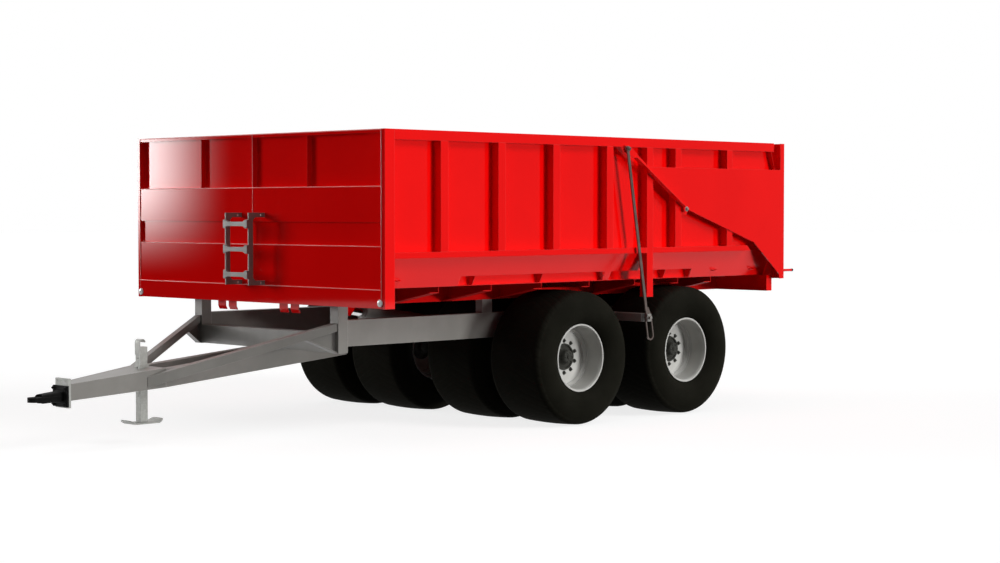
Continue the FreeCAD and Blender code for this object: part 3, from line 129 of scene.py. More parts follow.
# ---- camera, light and stage -----------------------------------------------
CAMERA_LENS = 71.18
CAMERA_AHEAD = 15.839
CAMERA_ASIDE = 15.659
CAMERA_HEIGHT = 2.230
CAMERA_YAW = 224.939
CAMERA_PITCH = -2.094
CAMERA_REACH = 400
FLOOR_HALF = 150.0
FLOOR_WHITE = 0.95
AMBIENT = 0.06
FLOOR_SHADOW_SHARE = 0.35
FLOOR_GLOW = 1.24
FLOOR_BOUNCE = 0.12
KEY_BEARING = 114.0
KEY_RISE = 0.6
KEY_STRENGTH = 1.4
KEY_SPREAD = 25
LOW_KEY_RISE = 0.0
LOW_KEY_STRENGTH = 1.9
LOW_KEY_SPREAD = 12
TOP_TOWARDS = (0.1, 0.1, 1.0)
TOP_STRENGTH = 0.7
TOP_SPREAD = 70
FILL_RISE = 0.2
FILL_STRENGTH = 1.5
FILL_SPREAD = 25
FLAG_SIDES = 48
FLAG_DISTANCE = 25.0
FLAG_FOOT = 0.2
FLAG_HEIGHT = 18.0
# The flags' brightness at bearings round the compass: darkest where the front wall mirrors them.
FLAG_STOPS = ((-180, 0.3), (-150, 0.8), (-118, 0.8), (-90, 0.2), (-52, 0.012), (-40, 0.012),
              (0, 0.12), (60, 0.24), (180, 0.3))
CARD_BEARING = -53.2
CARD_DISTANCE = 20.0
CARD_WIDTH = 7.0
CARD_HEIGHT = 4.4
CARD_FOOT = 0.8
CARD_SIDE_FADE = 2.9
CARD_FOOT_FADE = 2.4
CARD_RADIANCE = 27.5
SKY_CARD_HEIGHT = 17.5
SKY_CARD_HALF = 24.0
SKY_CARD_RADIANCE = 2.5


# ---- material helpers ------------------------------------------------------
def math_node(tree, operation, *values):
    """A maths node over outputs and plain numbers."""
    node = tree.nodes.new("ShaderNodeMath")
    node.operation = operation
    for socket, value in zip(node.inputs, values):
        if isinstance(value, (int, float)):
            socket.default_value = value
        else:
            tree.links.new(value, socket)
    return node.outputs["Value"]


class Shader:
    """One material's node tree, with short ways to add and join nodes."""

    def __init__(self, name):
        self.material = bpy.data.materials.new(name)
        self.material.use_nodes = True
        self.tree = self.material.node_tree
        self.surface = self.tree.nodes["Principled BSDF"]
        self.place = self.tree.nodes.new("ShaderNodeTexCoord").outputs["Object"]

    def set(self, **values):
        """Sets the surface's own sockets: base_color becomes Base Color, and so on."""
        for name, value in values.items():
            socket = name.replace("_", " ").title().replace("Ior", "IOR")
            self.surface.inputs[socket].default_value = value

    def link(self, output, socket):
        self.tree.links.new(output, self.surface.inputs[socket])

    def math(self, operation, *values):
        return math_node(self.tree, operation, *values)

    def noise(self, scale, detail=3.0, roughness=0.5, stretch=(1, 1, 1)):
        """A noise over the piece's own place, stretched along its axes."""
        mapping = self.tree.nodes.new("ShaderNodeMapping")
        mapping.inputs["Scale"].default_value = stretch
        self.tree.links.new(self.place, mapping.inputs["Vector"])
        node = self.tree.nodes.new("ShaderNodeTexNoise")
        node.inputs["Scale"].default_value = scale
        node.inputs["Detail"].default_value = detail
        node.inputs["Roughness"].default_value = roughness
        self.tree.links.new(mapping.outputs["Vector"], node.inputs["Vector"])
        return node.outputs["Fac"]

    def ramp(self, value, low, high, low_colour, high_colour):
        """A colour that goes from one to the other as value goes from low to high."""
        node = self.tree.nodes.new("ShaderNodeValToRGB")
        node.color_ramp.elements[0].position = low
        node.color_ramp.elements[1].position = high
        node.color_ramp.elements[0].color = (*low_colour, 1)
        node.color_ramp.elements[1].color = (*high_colour, 1)
        self.tree.links.new(value, node.inputs["Fac"])
        return node.outputs["Color"]

    def mixed(self, share, first, second_colour):
        """A colour that turns into the second one where share is 1."""
        node = self.tree.nodes.new("ShaderNodeMix")
        node.data_type = "RGBA"
        self.tree.links.new(share, node.inputs["Factor"])
        self.tree.links.new(first, node.inputs[6])
        node.inputs[7].default_value = (*second_colour, 1)
        return node.outputs[2]

    def between(self, value, from_low, from_high, low=0.0, high=1.0):
        """A number that goes smoothly from low to high as value crosses the first two."""
        node = self.tree.nodes.new("ShaderNodeMapRange")
        node.interpolation_type = "SMOOTHSTEP"
        limits = {"From Min": from_low, "From Max": from_high, "To Min": low, "To Max": high}
        for name, number in limits.items():
            node.inputs[name].default_value = number
        self.tree.links.new(value, node.inputs["Value"])
        return node.outputs["Result"]

    def rounded(self, radius):
        """The normal over edges rounded by a small radius."""
        bevel = self.tree.nodes.new("ShaderNodeBevel")
        bevel.samples = BEVEL_SAMPLES
        bevel.inputs["Radius"].default_value = radius
        return bevel.outputs["Normal"]

    def edges(self, radius):
        """1 along edges and 0 on flats: how far the rounded normal leans from the plain one. The
        paints use it to lay painted highlights along edges.
        """
        plain = self.tree.nodes.new("ShaderNodeNewGeometry").outputs["Normal"]
        lean = self.tree.nodes.new("ShaderNodeVectorMath")
        lean.operation = "DOT_PRODUCT"
        self.tree.links.new(self.rounded(radius), lean.inputs[0])
        self.tree.links.new(plain, lean.inputs[1])
        return self.between(lean.outputs["Value"], 0.99, 0.86)

    def bump(self, height, strength, distance, normal=None):
        """A bump from a height, over the normal before it."""
        node = self.tree.nodes.new("ShaderNodeBump")
        node.inputs["Strength"].default_value = strength
        node.inputs["Distance"].default_value = distance
        self.tree.links.new(height, node.inputs["Height"])
        if normal:
            self.tree.links.new(normal, node.inputs["Normal"])
        return node.outputs["Normal"]


def red_paint(name="red_paint", coat_roughness=0.035):
    """Glossy sprayed red over plate: a little orange peel, welded sheet's slight waviness, and a
    painted highlight along its edges.
    """
    s = Shader(name)
    s.set(roughness=0.6, specular_ior_level=0.0, coat_weight=1.0, coat_roughness=coat_roughness,
          coat_ior=RED_COAT_IOR)
    tone = s.ramp(s.noise(1.3, 4.0), 0.35, 0.7, (0.815, 0.0016, 0.0016), (0.865, 0.0024, 0.0022))
    # Painted highlight: the edges are mixed towards a lighter red.
    s.link(s.mixed(s.edges(0.006), tone, RED_EDGE_HIGHLIGHT), "Base Color")
    wavy = s.bump(s.noise(2.2, 1.5), 0.2, 0.002, s.rounded(0.008))
    s.link(s.bump(s.noise(420.0, 1.0), 0.02, 0.0003, wavy), "Normal")
    return s.material


def under_shade_paint():
    """Duller red under the floor, darker and a little greyer all over as painted shade under the
    body, with a painted highlight along its edges.
    """
    s = Shader("under_shade_paint")
    s.set(roughness=0.6, specular_ior_level=0.12)
    # Painted shade: a darker red than the body's, for the shade under the floor.
    tone = s.ramp(s.noise(2.5, 5.0), 0.35, 0.7, (0.52, 0.006, 0.005), (0.62, 0.004, 0.004))
    # Painted highlight: the edges are mixed towards a lighter red.
    s.link(s.mixed(s.edges(0.005), tone, (0.66, 0.03, 0.028)), "Base Color")
    s.link(s.bump(s.noise(300.0, 3.0), 0.06, 0.0004, s.rounded(0.006)), "Normal")
    return s.material


def bead_highlight_paint():
    """The same red on the rolled beads, lighter and pinker all over as a painted highlight along
    them.
    """
    s = Shader("bead_highlight_paint")
    s.set(roughness=0.5, coat_weight=1.0, coat_roughness=0.1)
    # Painted highlight: a lighter, pinker red than the wall's, for the light lines along the beads.
    tone = s.ramp(s.noise(9.0, 4.0), 0.35, 0.7, (0.8, 0.06, 0.055), (0.86, 0.11, 0.1))
    s.link(tone, "Base Color")
    s.link(s.bump(s.noise(420.0, 1.0), 0.02, 0.0003), "Normal")
    return s.material


def grey_paint():
    """Satin grey paint on the chassis, with a painted highlight along its edges."""
    s = Shader("grey_paint")
    s.set(roughness=0.45, coat_weight=0.2, coat_roughness=0.15)
    tone = s.ramp(s.noise(3.0, 5.0), 0.35, 0.7, (0.188, 0.181, 0.167), (0.23, 0.223, 0.206))
    # Painted highlight: the edges are mixed towards a lighter grey.
    s.link(s.mixed(s.edges(0.005), tone, (0.42, 0.41, 0.385)), "Base Color")
    s.link(s.bump(s.noise(600.0, 2.0), 0.08, 0.0004, s.rounded(0.006)), "Normal")
    return s.material


def zinc_plate():
    """Bright galvanised steel with a faint spangle, on the parking jack and small fastenings."""
    s = Shader("zinc_plate")
    s.set(roughness=0.4, metallic=0.35)
    tone = s.ramp(s.noise(38.0, 1.0), 0.35, 0.65, (0.37, 0.375, 0.352), (0.43, 0.435, 0.41))
    s.link(tone, "Base Color")
    s.link(s.bump(s.noise(300.0, 2.0), 0.06, 0.0004, s.rounded(0.004)), "Normal")
    return s.material


def rim_paint():
    """Silver-grey wheel enamel, a little uneven in tone."""
    s = Shader("rim_paint")
    s.set(roughness=0.55, specular_ior_level=0.3)
    tone = s.ramp(s.noise(5.0, 4.0), 0.3, 0.7, (0.46, 0.455, 0.43), (0.545, 0.54, 0.515))
    # Painted highlight: the edges are mixed towards a near white.
    s.link(s.mixed(s.edges(0.004), tone, (0.8, 0.8, 0.78)), "Base Color")
    s.link(s.bump(s.noise(500.0, 2.0), 0.06, 0.0004, s.rounded(0.004)), "Normal")
    return s.material


def hub_iron():
    """Painted casting: nearly black, with a cast grain and a painted highlight along its edges."""
    s = Shader("hub_iron")
    s.set(roughness=0.55, specular_ior_level=0.25)
    tone = s.ramp(s.noise(30.0, 5.0), 0.3, 0.7, (0.026, 0.026, 0.022), (0.045, 0.045, 0.039))
    # Painted highlight: the edges are mixed towards a lighter grey.
    s.link(s.mixed(s.edges(0.003), tone, (0.12, 0.12, 0.11)), "Base Color")
    s.link(s.bump(s.noise(180.0, 4.0), 0.25, 0.001, s.rounded(0.003)), "Normal")
    return s.material


def tread_height(s):
    """Low blocks round the tread and fine rings on the walls, from the place round the axle."""
    place = s.tree.nodes.new("ShaderNodeSeparateXYZ")
    s.tree.links.new(s.place, place.inputs["Vector"])
    on_one_axle = s.math("WRAP", place.outputs["X"], BOGIE_X + AXLE_BASE, BOGIE_X)
    forward = s.math("SUBTRACT", on_one_axle, BOGIE_X + AXLE_BASE / 2)
    upward = s.math("SUBTRACT", place.outputs["Z"], TYRE_RADIUS)
    squares = (s.math("MULTIPLY", forward, forward), s.math("MULTIPLY", upward, upward))
    radius = s.math("SQRT", s.math("ADD", *squares))
    turn = s.math("ARCTAN2", upward, forward)
    sideways = s.math("ABSOLUTE", place.outputs["Y"])
    from_twin = s.math("ABSOLUTE", s.math("SUBTRACT", sideways, TWIN_CENTRE))
    off_centre = s.math("ABSOLUTE", s.math("SUBTRACT", from_twin, TWIN_CENTRE - TYRE_CENTRE_IN))
    round_tyre = s.math("MULTIPLY", turn, TREAD_BLOCKS / (2 * math.pi))
    blocks = s.math("ADD", round_tyre, s.math("MULTIPLY", off_centre, TREAD_SLANT))
    from_middle = s.math("ABSOLUTE", s.math("SUBTRACT", s.math("FRACT", blocks), 0.5))
    gap = s.between(from_middle, *TREAD_GAP, 1.0, 0.0)
    on_tread = s.between(radius, TYRE_RADIUS - SHOULDER[0], TYRE_RADIUS - SHOULDER[1])
    rings = s.math("SINE", s.math("MULTIPLY", radius, WALL_RING_PITCH))
    from_rings = s.math("ABSOLUTE", s.math("SUBTRACT", radius, WALL_RING_RADIUS))
    on_wall = s.between(from_rings, *WALL_RING_REACH)
    wall = s.math("MULTIPLY", s.math("MULTIPLY", rings, on_wall), WALL_RING_SHARE)
    return s.math("ADD", s.math("MULTIPLY", gap, on_tread), wall)


def tyre_rubber():
    """Dull black rubber with a little dust in its grain."""
    s = Shader("tyre_rubber")
    s.set(roughness=0.8, specular_ior_level=0.02)
    tone = s.ramp(s.noise(4.0, 5.0), 0.3, 0.75, (0.0075, 0.0073, 0.0052), (0.0115, 0.011, 0.0082))
    s.link(tone, "Base Color")
    tread = s.bump(tread_height(s), 0.6, 0.006)
    s.link(s.bump(s.noise(260.0, 4.0), 0.2, 0.0012, tread), "Normal")
    return s.material


def eye_iron():
    """Black forged iron on the towing eye, with a painted highlight along its edges."""
    s = Shader("eye_iron")
    s.set(roughness=0.6, specular_ior_level=0.05)
    tone = s.ramp(s.noise(40.0, 4.0), 0.3, 0.7, (0.004, 0.004, 0.004), (0.008, 0.008, 0.008))
    # Painted highlight: the edges are mixed towards a lighter grey.
    s.link(s.mixed(s.edges(0.004), tone, (0.02, 0.02, 0.02)), "Base Color")
    s.link(s.bump(s.noise(260.0, 4.0), 0.35, 0.001, s.rounded(0.004)), "Normal")
    return s.material


def rod_steel():
    """Drawn steel bar, with its grain along the bar, tinted brown all over as a painted reflection
    of the red side.
    """
    s = Shader("rod_steel")
    s.set(roughness=0.36, metallic=0.75)
    # Painted reflection: a brown tint all over for the red side mirrored in the bar.
    tone = s.ramp(s.noise(12.0, 5.0), 0.3, 0.7, (0.13, 0.1, 0.088), (0.19, 0.16, 0.145))
    s.link(tone, "Base Color")
    grain = s.noise(300.0, 3.0, stretch=(1, 1, 0.05))
    s.link(s.bump(grain, 0.1, 0.0006, s.rounded(0.002)), "Normal")
    return s.material


def chrome_rod():
    """Hard chrome on the cylinder's rod."""
    s = Shader("chrome_rod")
    s.set(base_color=(0.75, 0.75, 0.76, 1), metallic=1.0)
    s.link(s.between(s.noise(60.0, 2.0), 0.3, 0.7, 0.06, 0.14), "Roughness")
    return s.material


def reflector_white():
    """A white reflector's lens, with its small prisms."""
    s = Shader("reflector_white")
    s.set(roughness=0.25, coat_weight=1.0, coat_roughness=0.05)
    s.link(s.ramp(s.noise(700.0, 0.0), 0.4, 0.6, (0.78, 0.78, 0.78), (0.9, 0.9, 0.9)), "Base Color")
    return s.material


FINISHES = {make.__name__: make() for make in (
    red_paint, grey_paint, rim_paint, hub_iron, tyre_rubber, eye_iron, rod_steel, chrome_rod)}
REFLECTOR = reflector_white()
# Painted highlight for the front wall's beads.
BEAD_HIGHLIGHT = bead_highlight_paint()
ZINC = zinc_plate()
OWN_FINISHES = {"jack_leg": ZINC, "jack_sleeve": ZINC, "drawbar_plate": ZINC}
# The floor's bearers and subframe beams take the painted shade under the body.
OWN_FINISHES.update(dict.fromkeys(("floor_bearers", "subframe_beams"), under_shade_paint()))
OWN_FINISHES["side_skirts"] = red_paint("skirt_paint", SKIRT_COAT_ROUGHNESS)


def finish_frame():
    """Gives every CAD node its own finish or that of its slot in the record."""
    slots = {row["node"]: row["material_slot"] for row in frame["record"]["subparts"]}
    for name, obj in nodes.items():
        obj.data.materials.clear()
        obj.data.materials.append(OWN_FINISHES.get(name) or FINISHES[slots[name]])


# ---- small pieces ----------------------------------------------------------
class Form:
    """A mesh put together from turned forms: washers, nuts, pins and lenses."""

    def __init__(self):
        self.mesh = bmesh.new()

    def turn(self, foot, axis, outline, sides=24):
        """Turns an outline of (height along the axis, radius) pairs about the axis through foot."""
        axis = Vector(axis).normalized()
        across = axis.orthogonal().normalized()
        beside = axis.cross(across)
        rings = []
        for height, radius in outline:
            middle = Vector(foot) + axis * height
            turns = (2 * math.pi * i / sides for i in range(sides))
            spokes = [math.cos(turn) * across + math.sin(turn) * beside for turn in turns]
            rings.append([self.mesh.verts.new(middle + radius * spoke) for spoke in spokes])
        for low, high in zip(rings, rings[1:]):
            for i in range(sides):
                j = (i + 1) % sides
                self.mesh.faces.new((low[i], low[j], high[j], high[i]))
        self.mesh.faces.new(rings[0][::-1])
        self.mesh.faces.new(rings[-1])

    def bolt(self, foot, axis, across, stud=0.0):
        """A chamfered hexagon on a washer, with the end of a stud through it."""
        axis = Vector(axis).normalized()
        washer, head, corner = 0.12 * across, 0.6 * across, across / math.sqrt(3)
        rim = across * 0.95
        self.turn(foot, axis, ((0, rim), (washer * 0.7, rim), (washer, across * 0.88)))
        seat = Vector(foot) + axis * washer
        self.turn(seat, axis, ((0, corner), (head * 0.82, corner), (head, corner * 0.86)), 6)
        if stud:
            end = ((0, across * 0.3), (stud * 0.8, across * 0.3), (stud, across * 0.24))
            self.turn(seat + axis * head, axis, end, 16)

    def piece(self, name, body, slot, finish=None):
        """Makes the mesh a piece that rides on a body, in its slot's finish or one of its own."""
        bmesh.ops.recalc_face_normals(self.mesh, faces=self.mesh.faces)
        mesh = bpy.data.meshes.new(name)
        self.mesh.to_mesh(mesh)
        self.mesh.free()
        for face in mesh.polygons:
            face.use_smooth = True
        mesh.set_sharp_from_angle(angle=math.radians(SHARP_ANGLE))
        obj = bpy.data.objects.new(name, mesh)
        obj.data.materials.append(finish or FINISHES[slot])
        bpy.context.scene.collection.objects.link(obj)
        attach(obj, body)
        return obj


def bent_bar(name, points, radius, body, slot, finish=None):
    """A round bar bent along a smooth line, in its slot's finish or one of its own."""
    curve = bpy.data.curves.new(name, "CURVE")
    curve.dimensions = "3D"
    line = curve.splines.new("NURBS")
    line.points.add(len(points) - 1)
    for point, place in zip(line.points, points):
        point.co = (*place, 1)
    line.order_u = 3
    line.use_endpoint_u = True
    curve.bevel_depth = radius
    curve.bevel_resolution = 4
    curve.use_fill_caps = True
    curve.materials.append(finish or FINISHES[slot])
    obj = bpy.data.objects.new(name, curve)
    bpy.context.scene.collection.objects.link(obj)
    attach(obj, body)


def surface(start, towards):
    """Where a ray first meets the frame."""
    bpy.context.view_layer.update()
    graph = bpy.context.evaluated_depsgraph_get()
    ray = Vector(towards).normalized()
    found, place, normal, *_ = bpy.context.scene.ray_cast(graph, Vector(start), ray)
    if not found:
        raise ValueError(f"no surface from {start} towards {towards}")
    return place, normal


def outer_face(node):
    """How far a node reaches sideways from the wagon's middle."""
    return max(abs(corner.y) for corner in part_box(node))


def on_circle(axle, radius, turn, y):
    """A place on a circle round an axle."""
    return (axle.x + radius * math.cos(turn), y, axle.z + radius * math.sin(turn))


def add_bolt(name, foot, out, across, body, slot, finish=None):
    """One bolt head or nut that faces sideways, as a piece of its own."""
    form = Form()
    form.bolt(foot, (0, out, 0), across)
    form.piece(name, body, slot, finish)


def add_wheel_details(end, side, out):
    """Ten wheel nuts on their circle, the hub cap's bolts and grease cap, and the tyre valve."""
    wheel = centre(f"hub_{end}_{side}")
    outward = (0, out, 0)
    disc = out * (outer_face(f"rims_{end}_{side}") - DISC_DEPTH)
    cap = out * outer_face(f"hub_{end}_{side}")
    form = Form()
    for i in range(STUD_COUNT):
        turn = 2 * math.pi * (i + 0.5) / STUD_COUNT
        form.bolt(on_circle(wheel, STUD_CIRCLE, turn, disc), outward, NUT_ACROSS, stud=STUD_END)
    for i in range(CAP_BOLTS):
        turn = 2 * math.pi * i / CAP_BOLTS
        form.bolt(on_circle(wheel, CAP_CIRCLE, turn, cap), outward, CAP_BOLT_ACROSS)
    form.turn((wheel.x, cap, wheel.z), outward, GREASE_CAP)
    form.turn((wheel.x + VALVE_CIRCLE, disc, wheel.z), outward, VALVE, 16)
    form.piece(f"wheel_nuts_{end}_{side}", f"wheels_{end}_{side}", "hub_iron")


def add_reflectors():
    """Two round white reflectors low on the front wall's corners, each held by a screw."""
    ahead = cad_high.x + 1
    for side, out in SIDES:
        place, _ = surface((ahead, out * REFLECTOR_Y, REFLECTOR_Z), (-1, 0, 0))
        lens = Form()
        lens.turn(place, (1, 0, 0), LENS, 40)
        lens.piece(f"reflector_{side}", "body", None, REFLECTOR)
        screw = Form()
        screw.turn(place + Vector((LENS_DEPTH, 0, 0)), (1, 0, 0), LENS_SCREW, 20)
        screw.piece(f"reflector_screw_{side}", "body", None, ZINC)


def add_bead(name, points):
    # The beads wear the painted highlight.
    bent_bar(name, points, BEAD_RADIUS, "body", None, BEAD_HIGHLIGHT)


def add_front_beads():
    """Thin rolled beads on the front wall, along its folds, top, corners and seam."""
    ahead = cad_high.x + 1
    low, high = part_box("front_wall")
    half, top = high.y - BEAD_INSET, high.z - BEAD_INSET
    for number, z in enumerate((*FOLD_ZS, top)):
        face, _ = surface((ahead, half / 2, z - BEAD_PROBE_DROP), (-1, 0, 0))
        add_bead(f"front_bead_{number}", [(face.x, y, z) for y in (-half, 0, half)])
    for side, out in SIDES:
        corner = out * (half + BEAD_INSET)
        heights = (low.z, (low.z + high.z) / 2, top)
        add_bead(f"corner_bead_{side}", [(high.x, corner, z) for z in heights])
    for number, (foot, head) in enumerate(zip(FOLD_ZS[1:], (*FOLD_ZS[2:], top))):
        middle = (foot + head) / 2
        face, _ = surface((ahead, 0, middle), (-1, 0, 0))
        heights = (foot + BEAD_INSET, middle, head - BEAD_INSET)
        add_bead(f"seam_bead_{number}", [(face.x, 0, z) for z in heights])


def add_lashing_eyes():
    """Bent-bar eyes for the cover's rope, welded along the skirts."""
    for side, out in SIDES:
        for number, x in enumerate(EYE_XS):
            place, normal = surface((BOGIE_X + x, out * (cad_high.y + 1), EYE_Z), (0, -out, 0))
            feet = [place + Vector((dx, 0, 0)) for dx in (-EYE_HALF_WIDTH, EYE_HALF_WIDTH)]
            tops = [foot + normal * EYE_REACH + Vector((0, 0, EYE_RISE)) for foot in feet]
            points = [feet[0], tops[0], tops[1], feet[1]]
            bent_bar(f"lashing_eye_{side}_{number}", points, EYE_BAR_RADIUS, "body", "red_paint")


def add_pivot_bolts():
    """Bolt heads where the tailgate turns and its rods hook on, and nuts on the chassis pins."""
    pivot, arm = centre("gate_pivots"), centre("rod_arms")
    pivot_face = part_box("gate_pivots")[1].y
    for side, out in SIDES:
        rod = f"tailgate_rod_{side}"
        rod_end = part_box(f"gate_rod_{side}")[1]
        rod_face = outer_face(f"gate_rod_{side}")
        hinge = (pivot.x, out * pivot_face, pivot.z)
        hook = (rod_end.x - ROD_EYE_RADIUS, out * rod_face, rod_end.z - ROD_EYE_RADIUS)
        pin = (arm.x, out * (rod_face + PIN_NUT_GAP), arm.z)
        add_bolt(f"gate_pivot_bolt_{side}", hinge, out, PIVOT_BOLT_ACROSS, "body", "grey_paint")
        add_bolt(f"rod_bolt_{side}", hook, out, PIVOT_BOLT_ACROSS, rod, "rod_steel")
        add_bolt(f"rod_nut_{side}", pin, out, PIN_NUT_ACROSS, "chassis", None, ZINC)


def add_eye_bolts():
    """Four bolts through the towing eye's flange."""
    low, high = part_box("tow_eye")
    form = Form()
    for y in (low.y + EYE_BOLT_INSET, high.y - EYE_BOLT_INSET):
        for z in (low.z + EYE_BOLT_INSET, high.z - EYE_BOLT_INSET):
            place, _ = surface((high.x + 1, y, z), (-1, 0, 0))
            form.bolt(place, (1, 0, 0), EYE_BOLT_ACROSS, stud=EYE_BOLT_END)
    form.piece("eye_bolts", "chassis", "eye_iron")


def add_pin_tips():
    """Dark rubber sleeves on the tips of the tailgate's pins."""
    low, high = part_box("gate_pins")
    z = (low.z + high.z) / 2
    radius = (high.z - low.z) / 2
    outer = radius + SLEEVE_WALL
    sleeve = ((0, radius), (SLEEVE_LIP, outer), (SLEEVE_LENGTH, outer))
    for side, out in SIDES:
        tip = Form()
        tip.turn((low.x, out * (high.y - radius), z), (1, 0, 0), sleeve)
        tip.piece(f"pin_tip_{side}", "tailgate", "eye_iron")


def add_small_pieces():
    for end in ("front", "rear"):
        for side, out in SIDES:
            add_wheel_details(end, side, out)
    add_reflectors()
    add_front_beads()
    add_lashing_eyes()
    add_pivot_bolts()
    add_eye_bolts()
    add_pin_tips()


# ---- camera, floor and light -----------------------------------------------
def add_camera():
    """A long lens a little above head height, off the wagon's front left corner."""
    camera = bpy.data.objects.new("camera", bpy.data.cameras.new("camera"))
    camera.data.lens = CAMERA_LENS
    camera.location = (BOGIE_X + CAMERA_AHEAD, CAMERA_ASIDE, CAMERA_HEIGHT)
    yaw = math.radians(CAMERA_YAW)
    pitch = math.radians(CAMERA_PITCH)
    level = math.cos(pitch)
    ahead = Vector((level * math.cos(yaw), level * math.sin(yaw), math.sin(pitch)))
    camera.rotation_euler = ahead.to_track_quat("-Z", "Y").to_euler()
    camera.data.clip_end = CAMERA_REACH
    bpy.context.scene.collection.objects.link(camera)
    bpy.context.scene.camera = camera


def stage_piece(name, points, faces, material):
    """A piece of the studio, which isn't part of the wagon."""
    mesh = bpy.data.meshes.new(name)
    mesh.from_pydata(points, [], faces)
    obj = bpy.data.objects.new(name, mesh)
    obj.data.materials.append(material)
    bpy.context.scene.collection.objects.link(obj)
    return obj


def level_square(name, half, z, material):
    """A level square piece of the studio, centred on the wagon's frame."""
    corners = [(-half, -half, z), (half, -half, z), (half, half, z), (-half, half, z)]
    return stage_piece(name, corners, [(0, 1, 2, 3)], material)


def show_to_gloss_only(obj):
    obj.visible_camera = False
    obj.visible_diffuse = False
    obj.visible_shadow = False
    obj.visible_transmission = False


def bare_material(name):
    """A material with nothing joined to its output yet, and its tree."""
    material = bpy.data.materials.new(name)
    material.use_nodes = True
    tree = material.node_tree
    tree.nodes.remove(tree.nodes["Principled BSDF"])
    return material, tree


def glowing(name):
    """A material that only glows, with its tree and its emission node."""
    material, tree = bare_material(name)
    glow = tree.nodes.new("ShaderNodeEmission")
    tree.links.new(glow.outputs["Emission"], tree.nodes["Material Output"].inputs["Surface"])
    return material, tree, glow


def matt(tree, grey):
    """A plain matt surface of one grey."""
    node = tree.nodes.new("ShaderNodeBsdfDiffuse")
    node.inputs["Color"].default_value = (grey, grey, grey, 1)
    return node.outputs["BSDF"]


def seen_directly(tree):
    """1 for rays that should see the white background: camera, glossy and transmission rays."""
    path = tree.nodes.new("ShaderNodeLightPath")
    total = path.outputs["Is Camera Ray"]
    for name in ("Is Glossy Ray", "Is Transmission Ray"):
        total = math_node(tree, "MAXIMUM", total, path.outputs[name])
    return total


def floor_material():
    """Pale floor: near its own white where seen, with a share left to lamps for shadows."""
    material, tree = bare_material("floor_white")
    white = tree.nodes.new("ShaderNodeEmission")
    white.inputs["Strength"].default_value = FLOOR_GLOW
    seen = tree.nodes.new("ShaderNodeMixShader")
    seen.inputs["Fac"].default_value = FLOOR_SHADOW_SHARE
    tree.links.new(white.outputs["Emission"], seen.inputs[1])
    tree.links.new(matt(tree, FLOOR_WHITE), seen.inputs[2])
    either = tree.nodes.new("ShaderNodeMixShader")
    tree.links.new(seen_directly(tree), either.inputs["Fac"])
    tree.links.new(matt(tree, FLOOR_BOUNCE), either.inputs[1])
    tree.links.new(seen.outputs["Shader"], either.inputs[2])
    tree.links.new(either.outputs["Shader"], tree.nodes["Material Output"].inputs["Surface"])
    return material


def add_stage():
    """The floor, and a world that is white where it is seen and dim where it lights."""
    floor = level_square("floor", FLOOR_HALF, 0, floor_material())
    floor.visible_shadow = False
    world = bpy.data.worlds.new("studio")
    world.use_nodes = True
    bpy.context.scene.world = world
    tree = world.node_tree
    mix = tree.nodes.new("ShaderNodeMix")
    mix.inputs["A"].default_value = AMBIENT
    mix.inputs["B"].default_value = 1.0
    tree.links.new(seen_directly(tree), mix.inputs["Factor"])
    tree.links.new(mix.outputs["Result"], tree.nodes["Background"].inputs["Strength"])
    tree.nodes["Background"].inputs["Color"].default_value = (1, 1, 1, 1)


def add_sun(name, towards, strength, spread):
    """A far soft lamp whose light comes from the given direction."""
    lamp = bpy.data.lights.new(name, "SUN")
    lamp.energy = strength
    lamp.angle = math.radians(spread)
    obj = bpy.data.objects.new(name, lamp)
    obj.rotation_euler = Vector(towards).to_track_quat("Z", "Y").to_euler()
    obj.visible_glossy = False
    bpy.context.scene.collection.objects.link(obj)


def from_bearing(degrees, rise=0.0):
    """A direction on the compass, counted from +X towards +Y, with a rise above the horizon."""
    turn = math.radians(degrees)
    return Vector((math.cos(turn), math.sin(turn), rise))


def flag_material():
    """The flags' glow, its brightness set round the compass."""
    material, tree, glow = glowing("flag_cloth")
    place = tree.nodes.new("ShaderNodeSeparateXYZ")
    geometry = tree.nodes.new("ShaderNodeNewGeometry")
    tree.links.new(geometry.outputs["Position"], place.inputs["Vector"])
    bearing = math_node(tree, "ARCTAN2", place.outputs["Y"], place.outputs["X"])
    share = tree.nodes.new("ShaderNodeMapRange")
    share.inputs["From Min"].default_value = -math.pi
    share.inputs["From Max"].default_value = math.pi
    tree.links.new(bearing, share.inputs["Value"])
    ramp = tree.nodes.new("ShaderNodeValToRGB")
    stops = ramp.color_ramp.elements
    for index, (degrees, radiance) in enumerate(FLAG_STOPS):
        stop = stops[index] if index < 2 else stops.new(0.5)
        stop.position = (degrees + 180) / 360
        stop.color = (radiance, radiance, radiance, 1)
    tree.links.new(share.outputs["Result"], ramp.inputs["Fac"])
    tree.links.new(ramp.outputs["Color"], glow.inputs["Color"])
    return material


def add_flags():
    """Dark flags all round, out of the camera's sight, that keep the gloss from going grey."""
    points = []
    for step in range(FLAG_SIDES):
        out = from_bearing(360 * step / FLAG_SIDES) * FLAG_DISTANCE
        points += [(out.x, out.y, FLAG_FOOT), (out.x, out.y, FLAG_HEIGHT)]
    count = len(points)
    faces = [(i, i + 1, (i + 3) % count, (i + 2) % count) for i in range(0, count, 2)]
    show_to_gloss_only(stage_piece("flags", points, faces, flag_material()))


def faded(tree, value, reach):
    """0 at the card's edge and 1 from reach on, with a soft turn at both ends."""
    node = tree.nodes.new("ShaderNodeMapRange")
    node.interpolation_type = "SMOOTHERSTEP"
    node.inputs["From Max"].default_value = reach
    tree.links.new(value, node.inputs["Value"])
    return node.outputs["Result"]


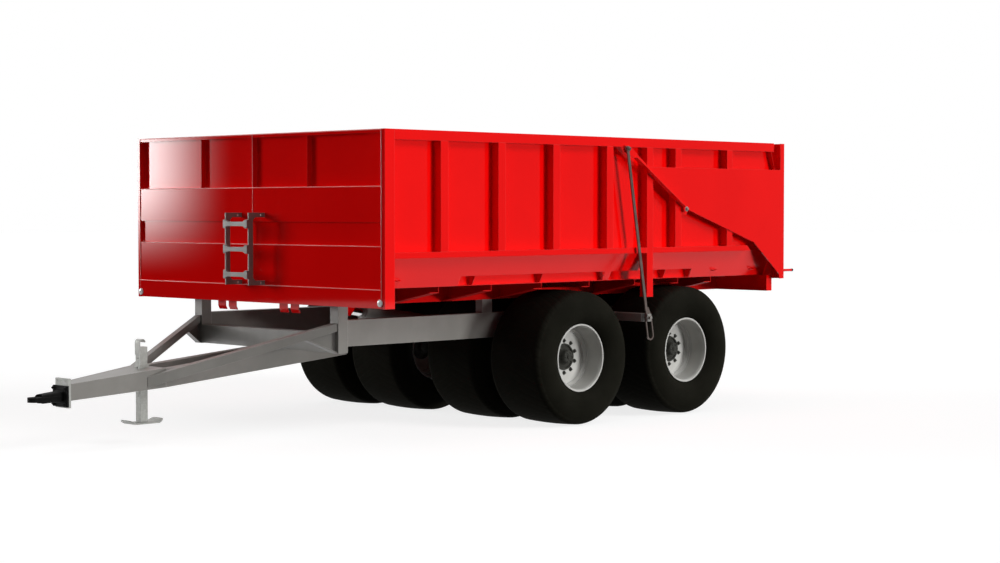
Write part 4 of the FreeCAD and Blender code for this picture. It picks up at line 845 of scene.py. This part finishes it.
def card_material():
    """A glow that fades out towards the card's left and lower edges."""
    material, tree, glow = glowing("gloss_card")
    place = tree.nodes.new("ShaderNodeSeparateXYZ")
    coords = tree.nodes.new("ShaderNodeTexCoord")
    tree.links.new(coords.outputs["Generated"], place.inputs["Vector"])
    across = faded(tree, place.outputs["X"], CARD_SIDE_FADE / CARD_WIDTH)
    up = faded(tree, place.outputs["Y"], CARD_FOOT_FADE / CARD_HEIGHT)
    both = math_node(tree, "MULTIPLY", across, up)
    tree.links.new(math_node(tree, "MULTIPLY", both, CARD_RADIANCE), glow.inputs["Strength"])
    return material


def add_card():
    """A glowing card off the front right corner, which the front wall's gloss mirrors."""
    corners = [(0, 0, 0), (CARD_WIDTH, 0, 0), (CARD_WIDTH, CARD_HEIGHT, 0), (0, CARD_HEIGHT, 0)]
    card = stage_piece("gloss_card", corners, [(0, 1, 2, 3)], card_material())
    edge = from_bearing(CARD_BEARING) * CARD_DISTANCE
    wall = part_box("front_wall")[1].x
    right = from_bearing(CARD_BEARING - 90)
    card.matrix_world = Matrix((
        (right.x, 0, -right.y, wall + edge.x),
        (right.y, 0, right.x, edge.y),
        (0, 1, 0, CARD_FOOT),
        (0, 0, 0, 1)))
    show_to_gloss_only(card)


def add_sky_card():
    """A wide soft box overhead that only gloss sees, so that rounded edges catch a thin light."""
    material, _, glow = glowing("sky_card")
    glow.inputs["Strength"].default_value = SKY_CARD_RADIANCE
    show_to_gloss_only(level_square("sky_card", SKY_CARD_HALF, SKY_CARD_HEIGHT, material))


def add_lights():
    add_sun("key", from_bearing(KEY_BEARING, KEY_RISE), KEY_STRENGTH, KEY_SPREAD)
    add_sun("low_key", from_bearing(KEY_BEARING, LOW_KEY_RISE), LOW_KEY_STRENGTH, LOW_KEY_SPREAD)
    add_sun("top", TOP_TOWARDS, TOP_STRENGTH, TOP_SPREAD)
    add_sun("front_fill", from_bearing(CARD_BEARING, FILL_RISE), FILL_STRENGTH, FILL_SPREAD)
    add_flags()
    add_card()
    add_sky_card()


bpy.context.scene.view_settings.view_transform = "Standard"
finish_frame()
add_small_pieces()
add_camera()
add_stage()
add_lights()
